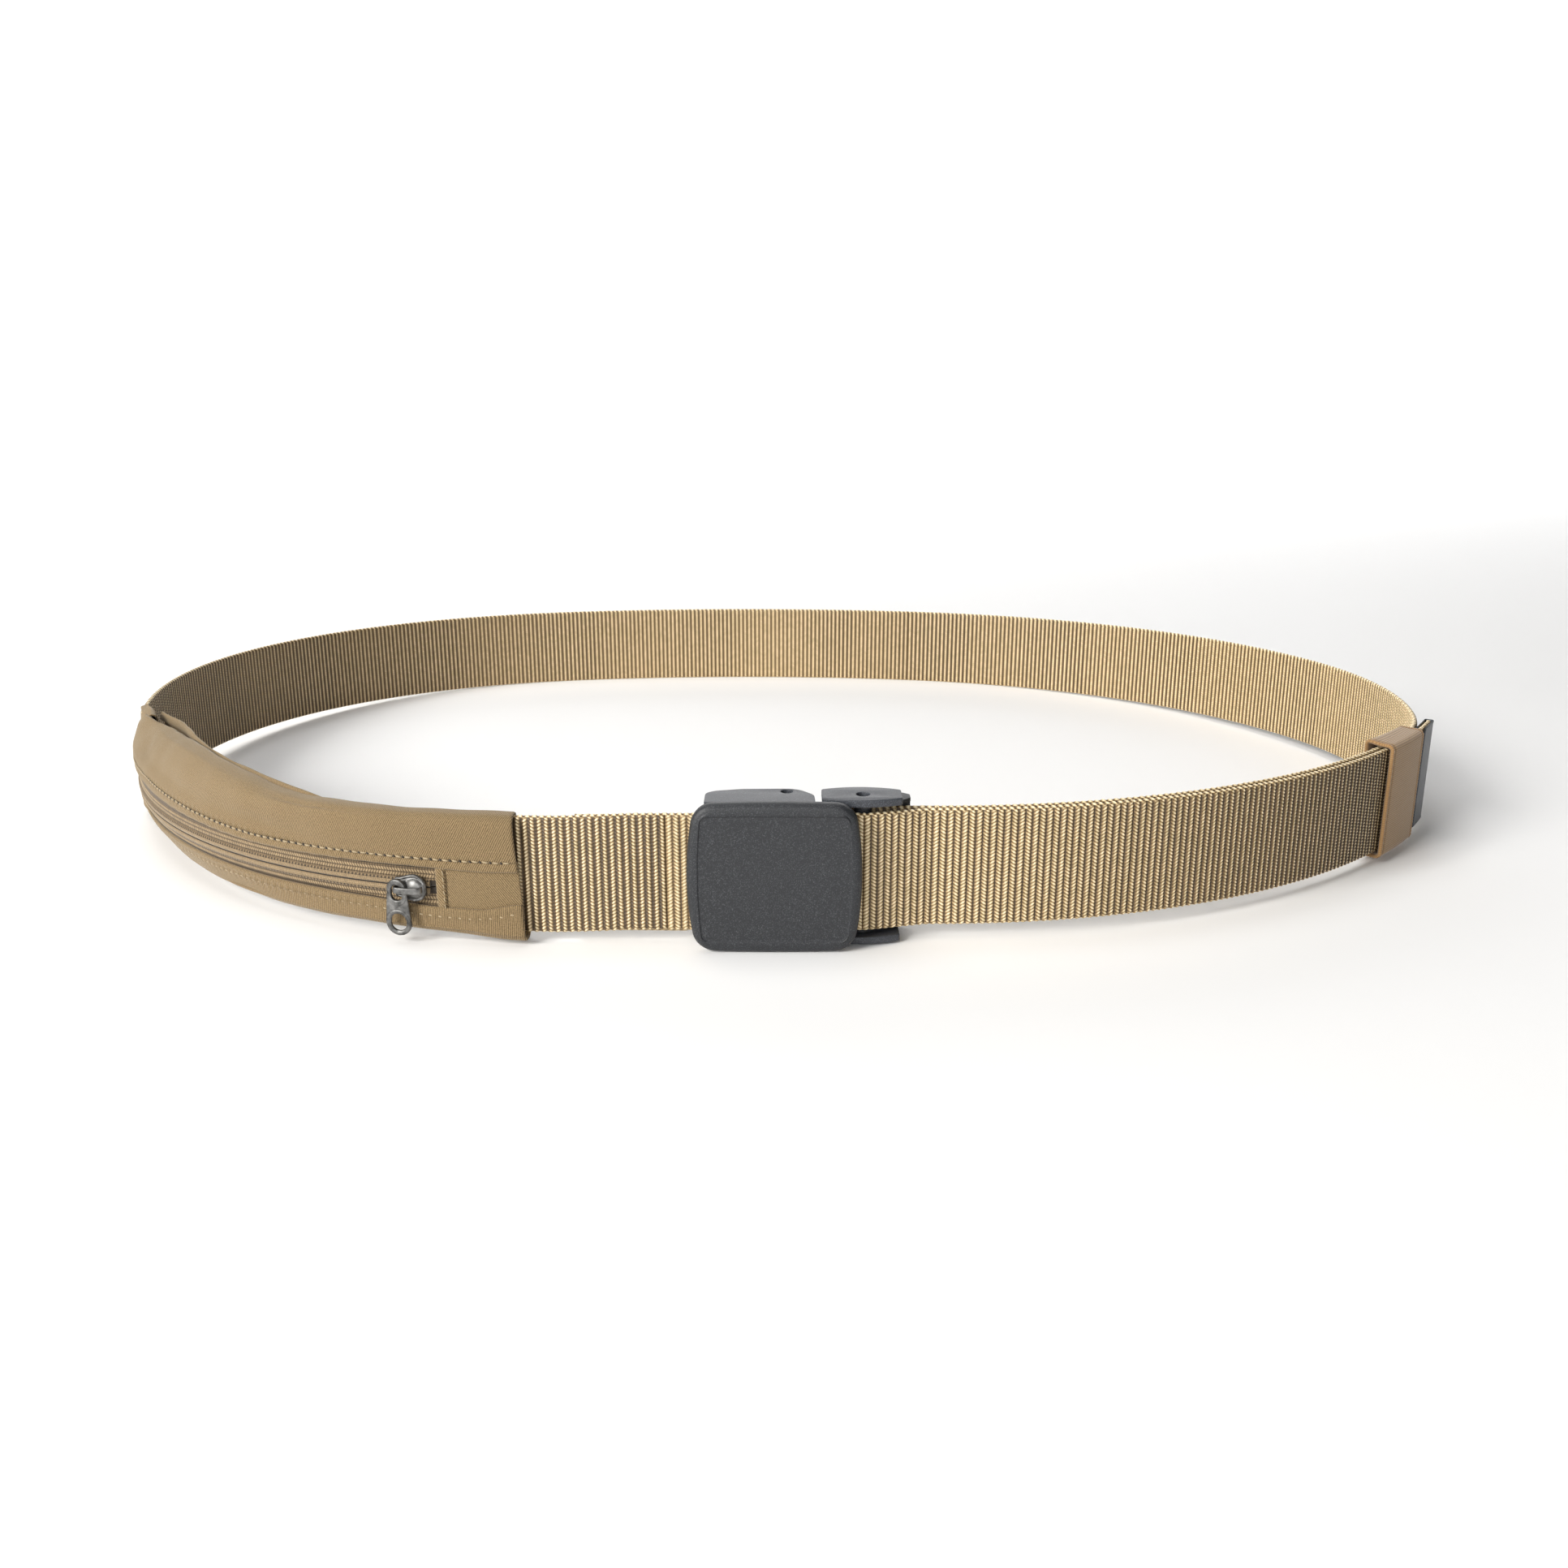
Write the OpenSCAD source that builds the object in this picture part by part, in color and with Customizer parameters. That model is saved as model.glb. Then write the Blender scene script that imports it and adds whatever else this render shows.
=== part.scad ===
// Money belt: a webbing waist belt standing on its edge, buckled, with a
// zipped pocket built round the webbing beside the buckle.
// +X to the wearer's-view right, -Y out of the buckle's face, +Z up.
// Origin: centre of the whole belt's footprint, on the surface it stands on.

/* [Webbing] */
// Width of the belt webbing
web_w = 30; // [28:0.5:31]
// Thickness of the webbing
web_t = 1.6; // [1.4:0.1:1.6]
// Height of the webbing's lower edge above the floor at the buckle
web_z = 3.5; // [3.2:0.1:4]
// Distance from the belt to its own free tail, centre to centre
tail_gap = 2.2; // [2.1:0.1:2.4]

/* [Loop] */
// Depth of the loop from the buckle to the start of the back curve
loop_depth = 289; // [275:1:300]
// Half angle of the shallow curve across the back
back_half = 9.8; // [8:0.1:12]
// Radius of the belt right of the buckle
right_r = 182; // [170:1:190]
// Radius of the belt through the pocket
pocket_r = 148.5; // [140:0.5:160]

/* [Buckle] */
// Width of the cover plate across its bulged sides
plate_w = 42.2; // [40:0.2:44]
// Height of the cover plate
plate_h = 38; // [37:0.5:39]
// Thickness of the cover plate
plate_t = 3.2; // [3:0.1:3.4]
// Radius of the steel pins
pin_r = 1.25; // [1.1:0.05:1.3]

/* [Pocket] */
// Length of the pocket along the belt, as an angle of its curve
pocket_deg = 67; // [60:1:72]
// Height of the pocket
pocket_h = 32.8; // [32.8:0.1:33.4]
// Distance of the pocket's front face from the webbing's centre
pocket_d = 3.8; // [3.8:0.1:4.2]
// Height of the open band that shows the zip
zip_band = 10; // [9.4:0.2:10.4]

/* [Keeper] */
// Width of the elastic keeper along the belt
keeper_w = 24; // [20:0.5:26]
// Thickness of the elastic
keeper_t = 1.2; // [1:0.1:1.3]

/* [Hidden] */
$fn = 72;

tan_c = [0.66, 0.54, 0.38];
fab_c = [0.65, 0.55, 0.42];
dark_c = [0.22, 0.23, 0.25];
steel_c = [0.62, 0.62, 0.6];
thread_c = [0.74, 0.63, 0.42];

h2 = web_t / 2;
// ---- plan of the belt, in the buckle's own frame ----
// x along the belt, y towards the wearer, y = 0 at the webbing on the left.
right_x = 39.6;            // where the right side leaves the buckle's straight part
right_y = 5.8;           // depth of the belt there
left_x = 26.4;             // the same on the left, mirrored
right_arcs = [[right_r, 52], [58, 20.7], [129, 38.3]];
left_arcs = [[560, 3.8], [pocket_r, 79]];

// An arc is [centre x, centre y, radius, start heading, end heading].
function arc_of(x, y, h, r, a) = [x - r * sin(h), y + r * cos(h), r, h, h + a];
function end_of(c) = [c[0] + c[2] * sin(c[4]), c[1] - c[2] * cos(c[4])];
r1 = arc_of(right_x, right_y, 0, right_arcs[0][0], right_arcs[0][1]);
r2 = arc_of(end_of(r1)[0], end_of(r1)[1], r1[4], right_arcs[1][0], right_arcs[1][1]);
r3 = arc_of(end_of(r2)[0], end_of(r2)[1], r2[4], right_arcs[2][0], right_arcs[2][1]);
r4r = (loop_depth - end_of(r3)[1]) / (cos(r3[4]) + cos(back_half));
r4 = arc_of(end_of(r3)[0], end_of(r3)[1], r3[4], r4r, 180 - back_half - r3[4]);
l1 = arc_of(left_x, 0, 0, left_arcs[0][0], left_arcs[0][1]);
l2 = arc_of(end_of(l1)[0], end_of(l1)[1], l1[4], left_arcs[1][0], left_arcs[1][1]);
l3r = (loop_depth - end_of(l2)[1]) / (cos(l2[4]) + cos(back_half));
l3 = arc_of(end_of(l2)[0], end_of(l2)[1], l2[4], l3r, 180 - back_half - l2[4]);
// Left arcs are worked out mirrored, so the back spans from r4's end to -l3's end.
back_gap = end_of(r4)[0] + end_of(l3)[0];
back_r = back_gap / (2 * sin(back_half));
back_c = [(end_of(r4)[0] - end_of(l3)[0]) / 2, loop_depth - back_r * cos(back_half)];

// ---- origin: centre of the footprint ----
plate_y0 = -7;                              // the plate's outer face
x_hi = r3[0] + r3[2] + h2;
x_lo = -(l3[0] + l3[2] + h2);
y_hi = back_c[1] + back_r + h2;
org = [(x_hi + x_lo) / 2, (y_hi + plate_y0) / 2];

// ---- pocket heights ----
pz0 = web_z + web_w / 2 - pocket_h / 2 - 0.4;
pz1 = pz0 + pocket_h;
zip_z = 14.2;                               // height of the zip's middle
zb0 = zip_z - zip_band / 2;
zb1 = zip_z + zip_band / 2;
p_t = 0.8;                                  // thickness of the pocket fabric
slider_a = 9.6;                             // slider's place, closed, along the pocket
tack_a = 7.1;                               // closed end of the zip
far_a = 61;                                 // open end of the zip

// ---- buckle ----
bar = [-15, 2.1];                             // bar that the sewn end goes round
latch = [3, 5];                             // pin that the hook holds
adj = [21.4, 2.8];                          // pin that the adjuster turns on
ear_t = 1.9;
zc = plate_h / 2;

module at_loop() { translate([-org[0], -org[1], 0]) children(); }
module left_side() { at_loop() mirror([1, 0, 0]) children(); }

// band on an arc: from heading a0 to a1, offset d0..d1 outwards, height z0..z1
module band(c, a0, a1, d0, d1, z0, z1) {
    translate([c[0], c[1], 0])
        rotate_extrude(angle = a1 - a0, start = a0 - 90, $fn = 360)
            translate([c[2] + d0, z0]) square([d1 - d0, z1 - z0]);
}
// the same for any profile drawn with x = offset outwards, y = height
module sweep_band(c, a0, a1) {
    translate([c[0], c[1], 0])
        rotate_extrude(angle = a1 - a0, start = a0 - 90, $fn = 360)
            translate([c[2], 0]) children();
}
// frame at heading a on arc c: x along travel, y inwards, origin on the arc
module on_arc(c, a) {
    translate([c[0] + c[2] * sin(a), c[1] - c[2] * cos(a), 0]) rotate([0, 0, a]) children();
}
module rrect(x, y, r) {
    translate([r, 0]) square([x - 2 * r, y]);
    translate([0, r]) square([x, y - 2 * r]);
    for (i = [r, x - r], j = [r, y - r]) translate([i, j]) circle(r, $fn = 32);
}

// ---- webbing that comes down from the buckle's height to the floor ----
function ease(u) = u * u * (3 - 2 * u);
// ring of four corners at heading a on arc c, lower edge at height z
function ring(c, a, z) = [for (q = [[-h2, 0], [h2, 0], [h2, web_w], [-h2, web_w]])
    [c[0] + (c[2] + q[0]) * sin(a), c[1] - (c[2] + q[0]) * cos(a), z + q[1]]];
module ribbon(rings) {
    n = len(rings);
    polyhedron(points = [for (r = rings) each r],
        faces = concat([[0, 1, 2, 3]], [[4 * n - 1, 4 * n - 2, 4 * n - 3, 4 * n - 4]],
            [for (i = [0:n - 2], j = [0:3]) let (k = (j + 1) % 4)
                each [[4 * i + j, 4 * i + 4 + j, 4 * i + 4 + k], [4 * i + j, 4 * i + 4 + k, 4 * i + k]]]));
}
drop_n = 36;

module strap_sewn_end() {
    // loop round the cover bar, with its end laid back on the wearer's side
    color(tan_c) at_loop() {
        translate([-left_x, -h2, web_z]) cube([left_x + bar[0], web_t, web_w]);
        translate([bar[0], bar[1], 0]) rotate_extrude(angle = 180, start = -90)
            translate([bar[1] - h2, web_z]) square([web_t, web_w]);
        translate([bar[0] - 3, 2 * bar[1] - h2, web_z]) cube([3, web_t, web_w]);
        translate([0, 0, web_z]) linear_extrude(web_w)
            polygon([[bar[0] - 3, 2 * bar[1] - h2], [bar[0] - 3, 2 * bar[1] + h2],
                [bar[0] - 7, h2 + web_t + 0.05], [-left_x - 22, h2 + web_t + 0.75],
                [-left_x - 22, h2 + 0.75], [bar[0] - 7, h2 + 0.05]]);
    }
}
module strap_pocket_run() {
    color(tan_c) left_side() {
        band(l1, l1[3], l1[4], -h2, h2, web_z, web_z + web_w);
        band(l2, l2[3], l2[4], -h2, h2, web_z, web_z + web_w);
    }
}
module strap_left_run() {
    color(tan_c) left_side() ribbon([for (i = [0:drop_n])
        ring(l3, l3[3] + (l3[4] - l3[3]) * i / drop_n, web_z * (1 - ease(i / drop_n)))]);
}
module strap_back_run() {
    color(tan_c) at_loop() translate([back_c[0], back_c[1], 0])
        rotate_extrude(angle = 2 * back_half, start = 90 - back_half, $fn = 360)
            translate([back_r - h2, 0]) square([web_t, web_w]);
}
module strap_right_run() {
    l_3 = r3[2] * (r3[4] - r3[3]);
    l_4 = r4[2] * (r4[4] - r4[3]);
    n3 = round(drop_n * l_3 / (l_3 + l_4));
    n4 = drop_n - n3;
    color(tan_c) at_loop() ribbon(concat(
        [for (i = [0:n3]) let (u = l_3 * i / n3 / (l_3 + l_4))
            ring(r3, r3[3] + (r3[4] - r3[3]) * i / n3, web_z * (1 - ease(u)))],
        [for (i = [1:n4]) let (u = (l_3 + l_4 * i / n4) / (l_3 + l_4))
            ring(r4, r4[3] + (r4[4] - r4[3]) * i / n4, web_z * (1 - ease(u)))]));
}
module strap_front_run() {
    color(tan_c) at_loop() {
        band(r1, r1[3], r1[4], -h2, h2, web_z, web_z + web_w);
        band(r2, r2[3], r2[4], -h2, h2, web_z, web_z + web_w);
    }
}
loop_r = right_y - adj[1];                  // the belt's turn round the lever's barrel
tail_y = right_y - tail_gap;
module strap_adjuster_loop() {
    color(tan_c) at_loop() {
        translate([adj[0], adj[1], 0]) rotate_extrude(angle = 180, start = 90)
            translate([loop_r - h2, web_z]) square([web_t, web_w]);
        translate([adj[0], right_y - h2, web_z]) cube([right_x - adj[0], web_t, web_w]);
    }
}
tip_a = 57.5;                               // heading at the end of the tail
module strap_tail() {
    y0 = adj[1] - loop_r;
    color(tan_c) at_loop() {
        translate([0, 0, web_z]) linear_extrude(web_w)
            polygon([[adj[0], y0 - h2], [adj[0] + 1, y0 - h2], [right_x - 2, tail_y - h2],
                [right_x, tail_y - h2], [right_x, tail_y + h2], [right_x - 2, tail_y + h2],
                [adj[0] + 1, y0 + h2], [adj[0], y0 + h2]]);
        band(r1, 0, tip_a, tail_gap - h2, tail_gap + h2, web_z, web_z + web_w);
    }
}
module strap_tip() {
    // folded sheet-metal clip over the end of the tail
    color(dark_c) at_loop() {
        sweep_band(r1, tip_a - 3.4, tip_a) {
            translate([tail_gap + h2, web_z - 0.3]) square([0.45, web_w + 0.6]);
            translate([tail_gap - h2 - 0.4, web_z - 0.3]) square([0.4, web_w + 0.6]);
        }
        on_arc(r1, tip_a) translate([0, -tail_gap, web_z - 0.3]) linear_extrude(web_w + 0.6)
            intersection() {
                circle(h2 + 0.42);
                translate([0.02, -3]) square([3, 6]);
            }
    }
}
module end_stitching() {
    // two cross rows and the long rows of the box stitch, on the wearer's side
    color(thread_c) at_loop()
        for (x = [-left_x - 19, -left_x - 3], z = [0:8])
            translate([x, h2 + web_t + (x < -30 ? 0.67 : 0.27), web_z + 3 + z * 2.9])
                cube([0.6, 0.45, 2]);
}

// ---- keeper ----
keep_a = 48.2;                              // heading at its middle
keep_half = keeper_w / 2 / (r1[2] + 3) * 180 / PI;
kd0 = -h2 - 0.35;
kd1 = tail_gap + h2 + 0.75;
kz0 = web_z - 0.5;
kz1 = web_z + web_w + 0.5;
module keeper_ring(o) {
    translate([kd0 - o, kz0 - o]) rrect(kd1 - kd0 + 2 * o, kz1 - kz0 + 2 * o, max(0.3, o));
}
module keeper_loop() {
    color(tan_c) at_loop() sweep_band(r1, keep_a - keep_half, keep_a + keep_half)
        difference() { keeper_ring(keeper_t); keeper_ring(0); }
}
module keeper_seam() {
    color(thread_c) at_loop() for (z = [0:9])
        sweep_band(r1, keep_a - 0.14, keep_a + 0.14)
            translate([kd0 - keeper_t - 0.25, kz0 + 2.4 + z * 2.9]) square([0.25, 1.9]);
}

// ---- buckle ----
module plate_outline(in = 0) {
    // rounded rectangle with bulged sides
    w = plate_w - 2 * in;
    h = plate_h - 2 * in;
    intersection() {
        rrect_c(w, h, 4.6 - in);
        translate([95 - w / 2, 0]) circle(95, $fn = 240);
        translate([w / 2 - 95, 0]) circle(95, $fn = 240);
        translate([0, 320 - h / 2]) circle(320, $fn = 360);
        translate([0, h / 2 - 320]) circle(320, $fn = 360);
    }
}
module rrect_c(w, h, r) translate([-w / 2, -h / 2]) rrect(w, h, r);
module plate_slab(y0, y1, in) {
    translate([0, y1, zc]) rotate([90, 0, 0]) linear_extrude(y1 - y0) plate_outline(in);
}
cheek_x0 = -16.8;
cheek_x1 = 9.6;
cheek_y1 = 7.4;
module cheek() {
    // side wall behind the plate, seen from above
    y0 = plate_y0 + plate_t - 0.01;
    polygon([[cheek_x0, y0], [cheek_x1 + 0.2, y0], [cheek_x1, 2.4], [6.4, 6.3],
        [4, cheek_y1], [-8, cheek_y1 - 0.2], [cheek_x0 + 2, 5.6], [cheek_x0, 3.8]]);
}
module buckle_cover() {
    y1 = plate_y0 + plate_t;
    color(dark_c) at_loop() difference() {
        union() {
            // stepped rim gives the bevelled edge
            plate_slab(plate_y0 + 1.5, y1, 0);
            plate_slab(plate_y0 + 0.7, plate_y0 + 1.5, 0.35);
            plate_slab(plate_y0 + 0.25, plate_y0 + 0.7, 0.8);
            plate_slab(plate_y0, plate_y0 + 0.25, 1.5);
            for (z = [0.45, plate_h - 0.45 - ear_t])
                translate([0, 0, z]) linear_extrude(ear_t) cheek();
        }
        // flat sunk panel
        translate([0, plate_y0 + 0.3, zc]) rotate([90, 0, 0]) linear_extrude(1)
            intersection() {
                rrect_c(35, 30.6, 2.2);
                translate([80 - 17.5, 0]) circle(80, $fn = 240);
                translate([17.5 - 80, 0]) circle(80, $fn = 240);
            }
        // relief on the left so that the plate can turn past the webbing
        translate([0, 0, -1]) linear_extrude(plate_h + 2)
            polygon([[-plate_w / 2 - 1, y1 - 2.75], [-17.2, y1 + 0.01], [-17.2, y1 + 1], [-plate_w / 2 - 1, y1 + 1]]);
        // hollow in the back of the plate
        translate([-13.5, y1 - 1, 5]) cube([29, 2, plate_h - 10]);
        for (p = [bar, latch]) translate([p[0], p[1], -1]) cylinder(r = pin_r, h = plate_h + 2);
    }
}
module cross_pin(p, z0, z1, r) {
    translate([p[0], p[1], z0]) cylinder(r = r, h = z1 - z0);
}
module cover_bar() { color(steel_c) at_loop() cross_pin(bar, 0.7, plate_h - 0.7, pin_r); }
module latch_pin() { color(steel_c) at_loop() cross_pin(latch, 0.9, plate_h - 0.9, pin_r); }

module ear() {
    // lens-shaped ear, seen from above
    intersection() {
        translate([20.7, 3.2 + 18.6]) circle(24.2, $fn = 200);
        translate([20.7, 3.2 - 18.6]) circle(24.2, $fn = 200);
        translate([11.4, -6]) square([19.4, 20]);
    }
}
hook_z0 = 4.5;
hook_z1 = plate_h - 4.5;
module hook_plan() {
    // hook that opens outwards, and the web lock behind the adjuster pin
    difference() {
        union() {
            polygon([[-0.6, 2.4], [0.3, 2.2], [1.5, 3.2], [1.5, 7.0], [3.2, 8.1], [5, 7.4], [6.2, 5.4],
                [8, 4.2], [8, -1.2], [13, -2.6], [18.6, -2.6], [18.6, 9.4], [11.5, 9.4], [8.2, 10.2],
                [2.6, 10.4], [-0.6, 8.8]]);
        }
        translate(adj) circle(loop_r + h2 + 0.12, $fn = 96);
        // slot that the latch pin leaves through
        translate([latch[0] - pin_r - 0.12, latch[1]]) square([3.6, 0.01]);
        translate(latch) circle(pin_r + 0.12, $fn = 64);
        polygon([[latch[0] - pin_r - 0.12, latch[1]], [latch[0] + pin_r + 0.9, latch[1]],
            [latch[0] + pin_r + 2.4, latch[1] - 4], [latch[0] + pin_r + 2.4, -4], [latch[0] - pin_r - 0.12, -4]]);
    }
}
module adjuster_frame() {
    color(dark_c) at_loop() difference() {
        union() {
            for (z = [0.45, plate_h - 0.45 - ear_t]) translate([0, 0, z]) linear_extrude(ear_t) ear();
            translate([0, 0, hook_z0]) linear_extrude(hook_z1 - hook_z0) hook_plan();
            // webs that join the hook to the ears, clear of the cover's cheeks
            for (z = [2.3, hook_z1 - 0.05]) translate([0, 0, z]) linear_extrude(hook_z0 - 2.25)
                difference() {
                    translate([12, -1.6]) square([6.4, 8.6]);
                    translate(adj) circle(loop_r + h2 + 0.12, $fn = 96);
                }
        }
        translate([adj[0], adj[1], -1]) cylinder(r = pin_r, h = plate_h + 2);
        // countersunk mouths of the pin holes
        for (z = [-0.05, plate_h - 0.45 - 0.55]) translate([adj[0], adj[1], z]) cylinder(r = 1.7, h = 1.05);
    }
}
module adjuster_pin() { color(steel_c) at_loop() cross_pin(adj, 1.2, plate_h - 1.2, pin_r); }

arm_t = 0.9;
arm_z0 = 2.5;
arm_z1 = plate_h - 2.5;
module clamp_lever() {
    color(dark_c) at_loop() difference() {
        union() {
            translate([adj[0], adj[1], arm_z0]) cylinder(r = loop_r - h2 - 0.08, h = arm_z1 - arm_z0);
            for (z = [arm_z0, arm_z1 - arm_t]) translate([0, 0, z]) linear_extrude(arm_t) {
                translate(adj) circle(2.7);
                polygon([[adj[0] - 0.6, adj[1] + 2.6], [adj[0] + 0.5, adj[1] - 2.6], [adj[0] + 9.6, 4.4],
                    [adj[0] + 11.8, 6.4], [adj[0] + 11.8, 9.2], [adj[0] + 10.2, 10.6], [adj[0] + 4, 10.2]]);
            }
            translate([0, 0, arm_z0]) linear_extrude(arm_z1 - arm_z0) translate([adj[0] + 5, right_y + h2 + 0.5]) {
                polygon([[0, 0], [6.8, 0], [6.8, 2], [5.2, 3.4], [0.4, 3]]);
            }
        }
        translate([adj[0], adj[1], -1]) cylinder(r = pin_r + 0.05, h = plate_h + 2);
    }
}

// ---- pocket, all on the pocket's own arc ----
function pa(a) = l2[3] + a;                 // heading at a degrees along the pocket
po = pocket_d;
pi_ = pocket_d - p_t;
back_d = h2 + 0.15;
module pocket_back_panel() {
    // back wall, with the bottom and the top turned round the webbing
    color(fab_c) left_side() sweep_band(l2, pa(0), pa(pocket_deg)) {
        translate([-back_d - p_t, pz0]) square([p_t, pocket_h]);
        translate([-back_d - p_t, pz0]) square([pi_ + back_d + p_t, p_t]);
        translate([-back_d - p_t, pz1 - p_t]) square([pi_ + back_d + p_t, p_t]);
    }
}
module panel_profile(z0, z1, top) {
    // the outer corner is rounded
    translate([pi_, z0]) intersection() {
        square([p_t, z1 - z0]);
        if (top) translate([p_t - 3.2, -5]) rrect(3.2, z1 - z0 + 5, 0.7);
        else translate([p_t - 3.2, 0]) rrect(3.2, z1 - z0 + 5, 0.7);
    }
}
module pocket_upper_panel() {
    color(fab_c) left_side() sweep_band(l2, pa(0), pa(pocket_deg)) panel_profile(zb1, pz1, true);
}
module pocket_lower_panel() {
    color(fab_c) left_side() sweep_band(l2, pa(0), pa(pocket_deg)) panel_profile(pz0, zb0, false);
}
module pocket_end_facing() {
    // twill panel between the zip's closed end and the pocket's end
    color(fab_c) left_side() sweep_band(l2, pa(0), pa(tack_a - 1.1))
        translate([pi_ - 0.65, zb0 - 2]) square([0.6, zip_band + 4]);
}
module pocket_inner_lip() {
    // second layer of fabric standing along the top, behind the front panel
    color(fab_c) left_side() sweep_band(l2, pa(22), pa(62))
        translate([-back_d - p_t - 0.75, pz1 - 7]) square([0.7, 7.6]);
}
module pocket_mouth() {
    // gathered far end of the pocket, a collar folded round the webbing
    color(fab_c) left_side() difference() {
        sweep_band(l2, pa(pocket_deg) + 0.02, pa(pocket_deg) + 2.6)
            translate([-back_d - p_t, pz0 + 0.3]) rrect(po + back_d + p_t - 0.4, pocket_h - 0.2, 0.6);
        sweep_band(l2, pa(pocket_deg) - 1, pa(pocket_deg) + 4)
            translate([-back_d, pz0 + 1]) square([back_d + 1.5, pocket_h - 1.8]);
    }
}
// ---- zip ----
tape_d = pi_ - 0.65;
zip_gap = 0.25;                             // half the gap that the slider's post runs in
module zip_tape_upper() {
    color(fab_c) left_side() sweep_band(l2, pa(tack_a - 1), pa(far_a + 2))
        translate([tape_d, zip_z + zip_gap]) square([0.6, zip_band / 2 + 2.2]);
}
module zip_tape_lower() {
    color(fab_c) left_side() sweep_band(l2, pa(tack_a - 1), pa(far_a + 2))
        translate([tape_d, zip_z - zip_gap - zip_band / 2 - 2.2]) square([0.6, zip_band / 2 + 2.2]);
}
coil_d = tape_d + 0.6;
module coil(z0) {
    // rounded ridge of the nylon coil
    translate([coil_d, z0]) intersection() {
        translate([-0.35, 0]) rrect(1.2, 1.9, 0.5);
        square([2, 2]);
    }
}
module zip_coil_upper() {
    color(fab_c) left_side() sweep_band(l2, pa(tack_a), pa(far_a)) coil(zip_z + zip_gap);
}
module zip_coil_lower() {
    color(fab_c) left_side() sweep_band(l2, pa(tack_a), pa(far_a)) coil(zip_z - zip_gap - 1.9);
}
sl_w = 7;                                   // slider's width
sl_l = 8.4;                                 // slider's length
sl_a = sl_l / 2 / (pocket_r + 4) * 180 / PI;
sl_o = coil_d + 1.1;                        // inner face of the outer wing
bail_d = sl_o + 0.9;
module zip_slider() {
    color(steel_c) left_side() {
        // outer wing, tapered at its two corners, and inner wing behind the tapes
        intersection() {
            sweep_band(l2, pa(slider_a) - sl_a, pa(slider_a) + sl_a) {
                translate([sl_o, zip_z - sl_w / 2]) rrect(0.95, sl_w, 0.4);
                translate([tape_d - 0.8, zip_z - sl_w / 2 + 0.4]) square([0.6, sl_w - 0.8]);
            }
            on_arc(l2, pa(slider_a)) translate([0, 5, zip_z]) rotate([90, 0, 0]) linear_extrude(20)
                polygon([[-sl_l, -3.6], [-sl_l, 3.6], [1.6, 3.6], [4.4, 2.2], [4.4, -2.2], [1.6, -3.6]]);
        }
        // post that joins the wings between the tapes
        on_arc(l2, pa(slider_a)) translate([-3.4, -tape_d + 0.75, zip_z - 0.2]) rotate([90, 0, 0])
            linear_extrude(sl_o - tape_d + 1) square([1.2, 0.4]);
        // bail: two feet and a bar that the puller hangs on
        on_arc(l2, pa(slider_a)) {
            for (x = [-2.9, 2.9]) translate([x - 0.55, -bail_d - 2.5, zip_z - 0.8]) cube([1.1, 2.65, 1.6]);
            translate([-3.45, -bail_d - 2.5, zip_z]) rotate([0, 90, 0]) cylinder(r = 0.55, h = 6.9, $fn = 32);
            translate([-3.45, -bail_d - 2.75, zip_z - 0.8]) cube([6.9, 0.5, 1.6]);
        }
    }
}
pull_t = 1.1;                               // thickness of the puller
module zip_puller() {
    // flat tab that turns on the bail's far foot: ring at the top, oval hole below
    color(steel_c) left_side() on_arc(l2, pa(slider_a)) translate([2.9, -bail_d - 0.55, zip_z]) rotate([90, 0, 0])
        difference() {
            linear_extrude(pull_t) hull() {
                circle(2.3, $fn = 40);
                translate([0, -8.9]) circle(3.1, $fn = 40);
            }
            translate([0, -0.9, -1]) linear_extrude(4) rrect_c(2.4, 4, 1.15);
            translate([0, -8.7, -1]) linear_extrude(4) rrect_c(3.2, 4.4, 1.5);
        }
}
module zip_end_tack() {
    // folded tab that closes the zip beside the slider
    color(fab_c) left_side() sweep_band(l2, pa(tack_a - 1.05), pa(tack_a - 0.05))
        translate([coil_d + 0.03, zb0]) square([0.75, zip_band]);
}
module zip_far_stop() {
    color(thread_c) left_side() sweep_band(l2, pa(far_a + 0.05), pa(far_a + 0.6))
        translate([coil_d + 0.03, zip_z - 2.4]) square([0.7, 4.8]);
}
module topstitch(z) {
    // row of stitches sunk a little in the front panel
    step = 1.18;
    for (i = [0:floor((pocket_deg - 2) / step)])
        sweep_band(l2, pa(1 + i * step), pa(1 + i * step + 0.8))
            translate([po + 0.01, z]) square([0.28, 0.45]);
}
module topstitch_upper() { color(thread_c) left_side() topstitch(zb1 + 2.2); }
module topstitch_lower() { color(thread_c) left_side() topstitch(zb0 - 2.2); }

strap_sewn_end();
strap_pocket_run();
strap_left_run();
strap_back_run();
strap_right_run();
strap_front_run();
strap_adjuster_loop();
strap_tail();
strap_tip();
end_stitching();
keeper_loop();
keeper_seam();
buckle_cover();
cover_bar();
latch_pin();
adjuster_frame();
adjuster_pin();
clamp_lever();
pocket_back_panel();
pocket_upper_panel();
pocket_lower_panel();
pocket_end_facing();
pocket_inner_lip();
pocket_mouth();
zip_tape_upper();
zip_tape_lower();
zip_coil_upper();
zip_coil_lower();
zip_slider();
zip_puller();
zip_end_tack();
zip_far_stop();
topstitch_upper();
topstitch_lower();
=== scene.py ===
from math import sin, cos, radians, degrees, pi, atan2, hypot

import bpy
import bmesh
import numpy as np
from mathutils import Vector, Matrix


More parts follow.
